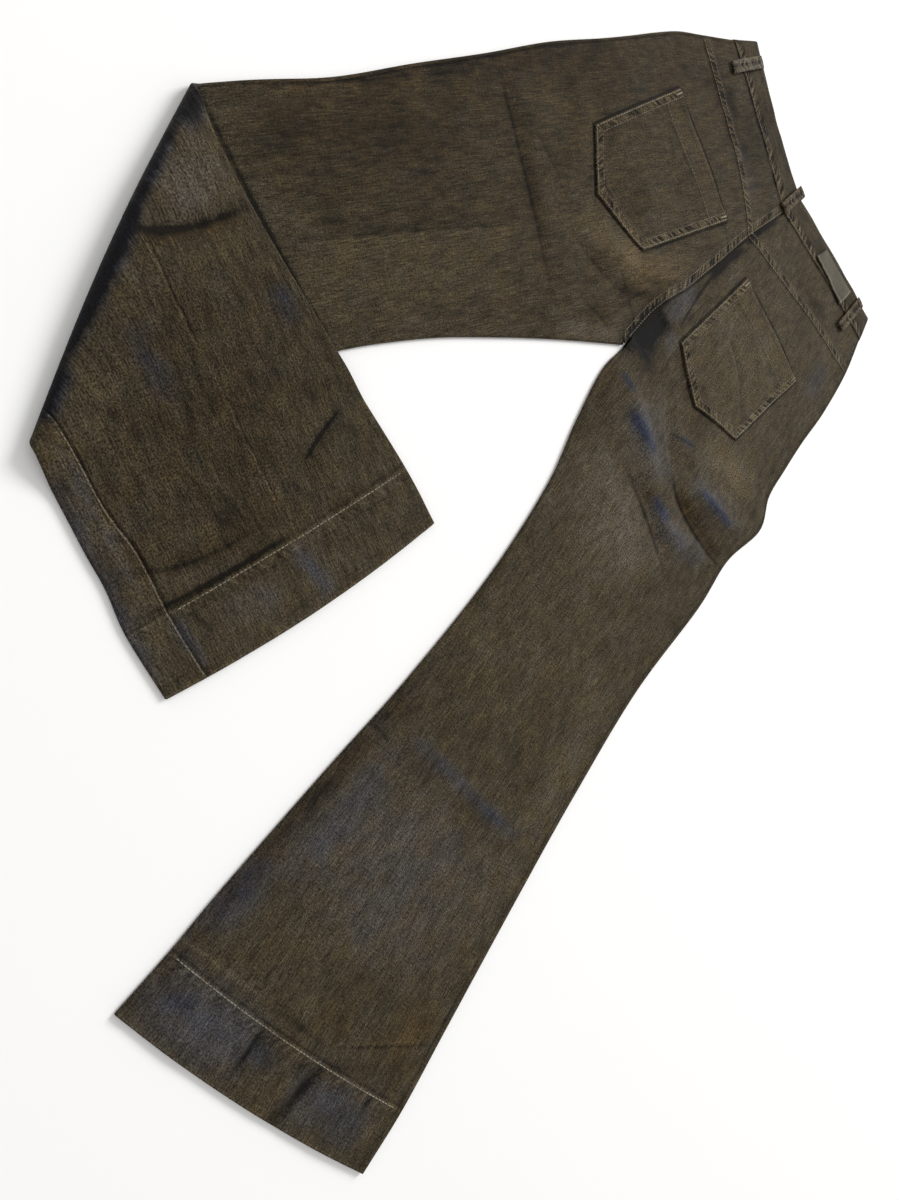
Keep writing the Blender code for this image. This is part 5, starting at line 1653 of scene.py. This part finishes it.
def patch():
    """The patch: a board between its four corners, laid on the waistband, its edges turned down."""
    low_left, up_left, up_right, low_right = (np.array(corner) for corner in PATCH)
    u, v = np.meshgrid(np.linspace(0, 1, 61), np.linspace(0, 1, 25))
    wide, high = u[..., None], v[..., None]
    low = low_left * (1 - wide) + low_right * wide
    plan = low * (1 - high) + (up_left * (1 - wide) + up_right * wide) * high
    x, y = plan[..., 0], plan[..., 1]
    width, depth = PATCH_SIZE
    edge = np.minimum(np.minimum(u, 1 - u) * width, np.minimum(v, 1 - v) * depth)
    height = band_top("right", x, y) + PATCH_LIFT - 0.0009 * np.exp(-edge / 0.0008)
    height = height - 0.0003 * near_line(edge, 0.0020, GROOVE) + 0.0003 * ripple(x, y, 0.03, 5)
    points = raised(plan, height)
    traits = traits_of(points)
    traits[..., 0] = -0.5 * np.exp(-edge / 0.0008)
    for from_side in (v * depth, (1 - u) * width):
        traits[..., 0] += 1.3 * near_line(from_side, 0.0016, 0.0007)
    faces = faces_of(numbered(points.shape))[:, ::-1]
    return points, faces, np.stack([u * width, v * depth], axis=-1), traits, cut_size(in_plan(points))


def loop_height(share):
    """Top of a belt loop: sewn down at both ends, arched a little between them."""
    sewn = np.exp(-share / 0.03) + np.exp(-(1 - share) / 0.03)
    return LAID + BAND_RISE + 0.0020 + 0.0004 * np.sin(math.pi * share) - 0.0003 * sewn


def loop_place(name, share, offset):
    """Points of a belt loop's top, by share of its length and by place across it in metres."""
    start, end = (np.array(corner) for corner in BELT_LOOPS[name])
    share, offset = np.broadcast_arrays(np.asarray(share, float), np.asarray(offset, float))
    plan = start + (end - start) * share[..., None] + to_left(unit(end - start)) * offset[..., None]
    edge = LOOP_WIDTH / 2 - np.abs(offset)
    turned = np.minimum(share, 1 - share) * np.linalg.norm(end - start)
    height = loop_height(share) - 0.0006 * np.exp(-edge / 0.0006) - 0.0006 * np.exp(-turned / 0.0007)
    height = height - 0.0002 * near_line(edge, LOOP_ROW, GROOVE) + 0.00012 * np.sin(share * 19 + offset * 300)
    return raised(plan, height)


def belt_loop(name):
    """A strap of doubled denim over the waistband."""
    share, offset = np.meshgrid(np.linspace(0, 1, 81), np.linspace(-0.5, 0.5, 25) * LOOP_WIDTH)
    points = loop_place(name, share, offset)
    edge = LOOP_WIDTH / 2 - np.abs(offset)
    ends = np.minimum(share, 1 - share)
    traits = traits_of(points, seams=nearest_seam((edge, share * 0.05, 1.0)))
    frayed = 1.0 if name == "left" else 0.35
    traits[..., 0] += 0.10 + 0.45 * frayed - 0.85 * near_line(edge, 0.0054, 0.0012)
    traits[..., 1] += 0.25 * frayed
    traits[..., 3] += 0.5 * near_line(ends, 0.06, 0.05) + 0.5 * frayed
    faces = faces_of(numbered(points.shape))[:, ::-1]
    return points, faces, np.stack([offset, share * 0.055], axis=-1), traits, cut_size(in_plan(points))


# ---------------------------------------------------------------------------
# Topstitching


def spindles(starts, ends, radius):
    """Stitches from their start and end points: each is a round thread, thin where it dives in.

    A ring of six points stands round the thread at four places along it. Its radius and its lift over
    the cloth are small at the two ends and full between them.
    """
    along = unit(ends - starts)
    aside = unit(np.cross(along, np.array([0.0, 0.0, 1.0])))
    up = np.cross(aside, along)
    shares = np.array([0.0, 0.22, 0.78, 1.0])
    thick = radius * np.array([0.5, 1.0, 1.0, 0.5])
    lift = radius * np.array([-0.5, 0.45, 0.45, -0.5])
    turn = np.arange(6) / 6 * 2 * math.pi
    middle = starts[:, None] + (ends - starts)[:, None] * shares[:, None] + up[:, None] * lift[:, None]
    ring = aside[:, None, None] * np.cos(turn)[:, None] + up[:, None, None] * np.sin(turn)[:, None]
    points = middle[:, :, None] + ring * thick[:, None, None]
    index = np.arange(points.size // 3).reshape(points.shape[:3])
    following = np.roll(index, -1, axis=2)
    corners = index[:, :-1], index[:, 1:], following[:, 1:], following[:, :-1]
    quads = np.stack(corners, axis=-1).reshape(-1, 4)
    return points.reshape(-1, 3), quads, np.concatenate([index[:, 0], index[:, -1, ::-1]])


def row_of_stitches(line, sizes, skip=0.0):
    """Start and end points of the stitches along a line on the cloth."""
    length = way_along(line)
    pitch = sizes.stitch + sizes.stitch_space
    count = max(1, int((length[-1] - 2 * skip) / pitch))
    begins = skip + (length[-1] - 2 * skip - count * pitch) / 2 + pitch * np.arange(count)

    def at(places):
        return np.stack([np.interp(places, length, line[:, axis]) for axis in range(3)], axis=-1)

    return at(begins), at(begins + sizes.stitch)


def bar_tack(centre, along, length, height):
    """Start and end points of the close cross stitches of a bar tack."""
    along = unit(along)
    places = centre + along * (np.linspace(-0.5, 0.5, int(length / TACK_STEP)) * length)[:, None]
    level = np.full(len(places), height)
    return tuple(raised(places + to_left(along) * half, level) for half in (-TACK_WIDTH / 2, TACK_WIDTH / 2))


def stitching(name, rows, sizes, material):
    """One object of all the given stitches."""
    starts, ends = (np.concatenate([row[end] for row in rows]) for end in (0, 1))
    points, quads, caps = spindles(starts, ends, sizes.thread)
    return dress(new_object(name, points, quads.tolist() + caps.tolist(), material))


def moved_aside(line, distance):
    """A plan line moved to its left by the distance, square to its own direction."""
    return line + distance * to_left(unit(np.gradient(line, axis=0)))


def over(top, plan):
    """A plan line lifted onto a surface given by its top function."""
    return raised(plan, top(plan[:, 0], plan[:, 1]))


def dense(corners, step=0.002):
    """Points along a line of straight pieces."""
    length = way_along(np.array(corners))
    places = np.linspace(0, length[-1], max(2, int(length[-1] / step)))
    return np.stack([np.interp(places, length, np.array(corners)[:, axis]) for axis in range(2)], axis=-1)


def yoke_and_seat_rows(sizes):
    """Two rows above each yoke seam and two on the left of the seat seam."""
    rows = []
    for side in SIDES:
        turn = 1 if side == "left" else -1
        seam = tube(side, np.full(200, float(YOKE_SEAM)), np.linspace(0.004, 0.985, 200))[:, :2]
        for distance in SEAM_ROWS:
            line = moved_aside(seam, -turn * distance)
            rows.append(row_of_stitches(over(lambda x, y: leg_top(side, x, y, 1.8), line), sizes))
    seam = tube("left", np.linspace(BAND_SEAM + 0.05, CROTCH - 0.15, 300), np.zeros(300))[:, :2]
    for distance in SEAM_ROWS:
        line = moved_aside(seam, -distance)
        rows.append(row_of_stitches(over(lambda x, y: leg_top("left", x, y, 3.5, 0.1), line), sizes))
    return rows


def pocket_top(side):
    """Height function of a pocket."""
    return lambda x, y: leg_top(side, x, y) + pocket_form(side, x, y)


def pocket_rows(side, sizes, distance):
    """One row of stitches inside the sewn edges of a pocket."""
    line = dense(inset(POCKETS[side], distance))
    return row_of_stitches(over(pocket_top(side), line), sizes)


def mouth_rows(side, sizes, distance):
    """A row of stitches parallel to a pocket's mouth, between its sewn edges."""
    outline = np.array(POCKETS[side])
    share = distance / np.linalg.norm(outline[1] - outline[0])
    start = outline[0] + (outline[1] - outline[0]) * share
    end = outline[4] + (outline[3] - outline[4]) * share
    middle = (start + end) / 2 + MOUTH_BOW * (outline[2] - (start + end) / 2) / np.linalg.norm(outline[2])
    line = dense([start, middle, end])
    return row_of_stitches(over(pocket_top(side), line), sizes, skip=0.004)


def pocket_tacks(side):
    """Bar tacks at the two ends of a pocket's mouth."""
    outline = np.array(POCKETS[side])
    tacks = []
    for corner, beside in ((0, 1), (4, 3)):
        along = unit(outline[beside] - outline[corner])
        centre = outline[corner] + along * 0.0055 + unit(outline[4 - corner] - outline[corner]) * 0.0050
        height = pocket_top(side)(centre[:1], centre[1:])[0]
        tacks.append(bar_tack(centre, along, 0.0085, height))
    return tacks


def hem_rows(sizes):
    """The stitching of both hems."""
    row = HEM_STITCH + EDGE_ROW / HEM_DEPTH
    shown = (("left", 2.02, 2.86), ("right", 0.01, 0.975))
    lines = [cloth(side, row, np.linspace(first, last, 300)) for side, first, last in shown]
    return [row_of_stitches(line, sizes) for line in lines]


def inseam_row(sizes):
    """The stitching along the inseam of the folded leg."""
    row = np.linspace(FOLD_ROW + 0.55, HEM - 0.02, 300)
    reach = -1 - (inseam_wrap(row) - EDGE_ROW - EDGE) / (leg_width("left", row) - 2 * EDGE)
    return row_of_stitches(cloth("left", row, reach), sizes)


def band_rows(sizes):
    """The stitching along the waistband's lower seam and its free edge."""
    rows = []
    for row in (1 - BAND_ROWS[1] / BAND_DEPTH, BAND_ROWS[0] / BAND_DEPTH):
        halves = [band_point(side, row, np.linspace(0.99, 0, 150), False) for side in SIDES]
        rows.append(row_of_stitches(np.concatenate([halves[0], halves[1][::-1][1:]]), sizes))
    return rows


def patch_rows(sizes):
    """Stitching round the patch, inside its edges."""
    corners = np.array([*PATCH, PATCH[0]])
    corners = corners + (np.array(PATCH).mean(axis=0) - corners) * 0.09
    line = over(lambda x, y: band_top("right", x, y) + PATCH_LIFT - 0.0001, dense(corners))
    return row_of_stitches(line, sizes)


def loop_rows(name, sizes):
    """Two rows along a belt loop, and a bar tack across each of its ends."""
    rows = []
    for offset in (-1, 1):
        place = offset * (LOOP_WIDTH / 2 - LOOP_ROW)
        rows.append(row_of_stitches(loop_place(name, np.linspace(0.03, 0.97, 60), place), sizes))
    start, end = (np.array(corner) for corner in BELT_LOOPS[name])
    for share in (0.06, 0.94):
        centre = start + (end - start) * share
        height = loop_place(name, share, 0.0)[2]
        rows.append(bar_tack(centre, to_left(end - start), LOOP_WIDTH * 0.8, height))
    return rows


# ---------------------------------------------------------------------------
# Operators: one for each piece or group of like pieces


class JEANS_OT_front_panels(bpy.types.Operator):
    """Add the two front leg panels, which carry the lower side and the folded lower leg"""

    bl_idname = "jeans.front_panels"
    bl_label = "Front panels"

    def execute(self, context):
        sizes = context.scene.jeans_cloth
        for side, held_as in (("left", "folded"), ("right", "laid")):
            made, node = front_panel(side, sizes), f"{side}_front_panel"
            add_cloth(f"{side}_front_denim", made, sizes.wall, "panel_denim", node)
        return {"FINISHED"}


class JEANS_OT_back_panels(bpy.types.Operator):
    """Add the two back leg panels with their creases"""

    bl_idname = "jeans.back_panels"
    bl_label = "Back panels"

    def execute(self, context):
        sizes = context.scene.jeans_cloth
        for side, held_as in (("left", "folded"), ("right", "laid")):
            made, node, under = back_panel(side, sizes), f"{side}_back_panel", [f"{side}_front_denim"]
            add_cloth(f"{side}_back_denim", made, sizes.wall, "panel_denim", node)
        return {"FINISHED"}


class JEANS_OT_yokes(bpy.types.Operator):
    """Add the two back yokes"""

    bl_idname = "jeans.yokes"
    bl_label = "Yokes"

    def execute(self, context):
        sizes = context.scene.jeans_cloth
        for side in SIDES:
            made, node, under = yoke(side, sizes), f"{side}_yoke", [f"{side}_front_denim"]
            add_cloth(f"{side}_yoke_denim", made, sizes.wall, "panel_denim", node)
        return {"FINISHED"}


class JEANS_OT_waistband(bpy.types.Operator):
    """Add the waistband as a flattened ring"""

    bl_idname = "jeans.waistband"
    bl_label = "Waistband"

    def execute(self, context):
        made = waistband(context.scene.jeans_cloth)
        add_cloth("waistband_denim", made, BAND_WALL, "trim_denim", "waistband")
        return {"FINISHED"}


class JEANS_OT_back_pockets(bpy.types.Operator):
    """Add the two back pockets"""

    bl_idname = "jeans.back_pockets"
    bl_label = "Back pockets"

    def execute(self, context):
        for side in SIDES:
            made, node = pocket(side, context.scene.jeans_cloth), f"{side}_back_pocket"
            name, under = f"{side}_pocket_denim", [f"{side}_back_denim"]
            add_cloth(name, made, POCKET_WALL, "trim_denim", node)
        return {"FINISHED"}


class JEANS_OT_belt_loops(bpy.types.Operator):
    """Add the three belt loops of the back"""

    bl_idname = "jeans.belt_loops"
    bl_label = "Belt loops"

    def execute(self, context):
        for name in BELT_LOOPS:
            made, node, under = belt_loop(name), f"belt_loop_{name}", ["waistband_denim"]
            add_cloth(f"loop_{name}_denim", made, LOOP_WALL, "trim_denim", node)
        return {"FINISHED"}


class JEANS_OT_patch(bpy.types.Operator):
    """Add the blank patch on the waistband"""

    bl_idname = "jeans.patch"
    bl_label = "Patch"

    def execute(self, context):
        add_cloth("patch_piece", patch(), PATCH_WALL, "patch_board", "patch")
        return {"FINISHED"}


class JEANS_OT_topstitching(bpy.types.Operator):
    """Add the topstitching and bar tacks"""

    bl_idname = "jeans.topstitching"
    bl_label = "Topstitching"

    def execute(self, context):
        sizes = context.scene.jeans_cloth
        stitching("seat_stitching", yoke_and_seat_rows(sizes), sizes, "tonal_thread")
        stitching("hem_stitching", hem_rows(sizes), sizes, "pale_thread")
        stitching("inseam_stitching", [inseam_row(sizes)], sizes, "tonal_thread")
        stitching("waistband_stitching", band_rows(sizes), sizes, "tonal_thread")
        edges = [pocket_rows(side, sizes, POCKET_ROWS[0]) for side in SIDES]
        stitching("pocket_edge_stitching", edges, sizes, "pale_thread")
        inner = [pocket_rows(side, sizes, POCKET_ROWS[1]) for side in SIDES]
        inner += [mouth_rows(side, sizes, POCKET_HEM_DEPTH - 0.001) for side in SIDES]
        stitching("pocket_inner_stitching", inner, sizes, "tonal_thread")
        tacks = [tack for side in SIDES for tack in pocket_tacks(side)]
        stitching("pocket_bar_tacks", tacks, sizes, "pale_thread")
        loops = [row for name in BELT_LOOPS for row in loop_rows(name, sizes)]
        stitching("loop_stitching", loops, sizes, "pale_thread")
        stitching("patch_stitching", [patch_rows(sizes)], sizes, "pale_thread")
        return {"FINISHED"}


class JEANS_OT_studio(bpy.types.Operator):
    """Add the pale floor, the soft light and the camera"""

    bl_idname = "jeans.studio"
    bl_label = "Floor, light and camera"

    def execute(self, context):
        scene = context.scene
        corners = np.array([(-4, -4, 0), (4, -4, 0), (4, 4, 0), (-4, 4, 0)])
        floor = new_object("studio_floor", corners, [(0, 1, 2, 3)], "studio_floor")

        lamp = bpy.data.lights.new("soft_key", "AREA")
        lamp.shape = "DISK"
        lamp.size = KEY_SIZE
        lamp.energy = KEY_POWER
        key = bpy.data.objects.new("soft_key", lamp)
        key.matrix_world = aimed(np.array(KEY_PLACE), np.zeros(3))
        scene.collection.objects.link(key)

        world = bpy.data.worlds.new("pale_room")
        world.use_nodes = True
        background = world.node_tree.nodes["Background"]
        background.inputs["Color"].default_value = (1.0, 0.99, 0.97, 1.0)
        background.inputs["Strength"].default_value = ROOM_LIGHT
        scene.world = world
        scene.view_settings.view_transform = "Standard"

        lens = bpy.data.cameras.new("photo_camera")
        lens.lens = CAMERA_LENS
        lens.clip_start = 0.01
        camera = bpy.data.objects.new("photo_camera", lens)
        camera.matrix_world = Matrix.Translation(CAMERA_PLACE) @ Matrix.Rotation(-CAMERA_TILT, 4, "Y")
        scene.collection.objects.link(camera)
        scene.camera = camera
        return {"FINISHED"}


def aimed(place, target):
    """Matrix of a light at a place whose -Z points to the target."""
    back = unit(place - target)
    right = unit(np.cross([0, 0, 1], back))
    matrix = np.eye(4)
    matrix[:3] = np.stack([right, np.cross(back, right), back, place], axis=1)
    return Matrix(matrix.tolist())


class JEANS_PT_sidebar(bpy.types.Panel):
    """Lists the pieces of the jeans in the sidebar"""

    bl_idname = "JEANS_PT_sidebar"
    bl_label = "Bootcut jeans"
    bl_space_type = "VIEW_3D"
    bl_region_type = "UI"
    bl_category = "Jeans"

    def draw(self, context):
        for operator in OPERATORS:
            self.layout.operator(operator.bl_idname)
        for group in (context.scene.jeans_cloth, context.scene.jeans_finish):
            for name in group.__annotations__:
                self.layout.prop(group, name)


OPERATORS = (
    JEANS_OT_studio,
    JEANS_OT_front_panels,
    JEANS_OT_back_panels,
    JEANS_OT_yokes,
    JEANS_OT_waistband,
    JEANS_OT_back_pockets,
    JEANS_OT_belt_loops,
    JEANS_OT_patch,
    JEANS_OT_topstitching,
)
GROUPS = (JEANS_PG_cloth, JEANS_PG_finish)


def register():
    for part in (*GROUPS, *OPERATORS, JEANS_PT_sidebar):
        bpy.utils.register_class(part)
    bpy.types.Scene.jeans_cloth = PointerProperty(type=JEANS_PG_cloth)
    bpy.types.Scene.jeans_finish = PointerProperty(type=JEANS_PG_finish)


def unregister():
    del bpy.types.Scene.jeans_finish
    del bpy.types.Scene.jeans_cloth
    for part in reversed((*GROUPS, *OPERATORS, JEANS_PT_sidebar)):
        bpy.utils.unregister_class(part)


def main():
    register()
    bpy.ops.jeans.studio()
    bpy.ops.jeans.front_panels()
    bpy.ops.jeans.back_panels()
    bpy.ops.jeans.yokes()
    bpy.ops.jeans.waistband()
    bpy.ops.jeans.back_pockets()
    bpy.ops.jeans.belt_loops()
    bpy.ops.jeans.patch()
    bpy.ops.jeans.topstitching()
    bpy.context.view_layer.update()


if __name__ == "__main__":
    main()
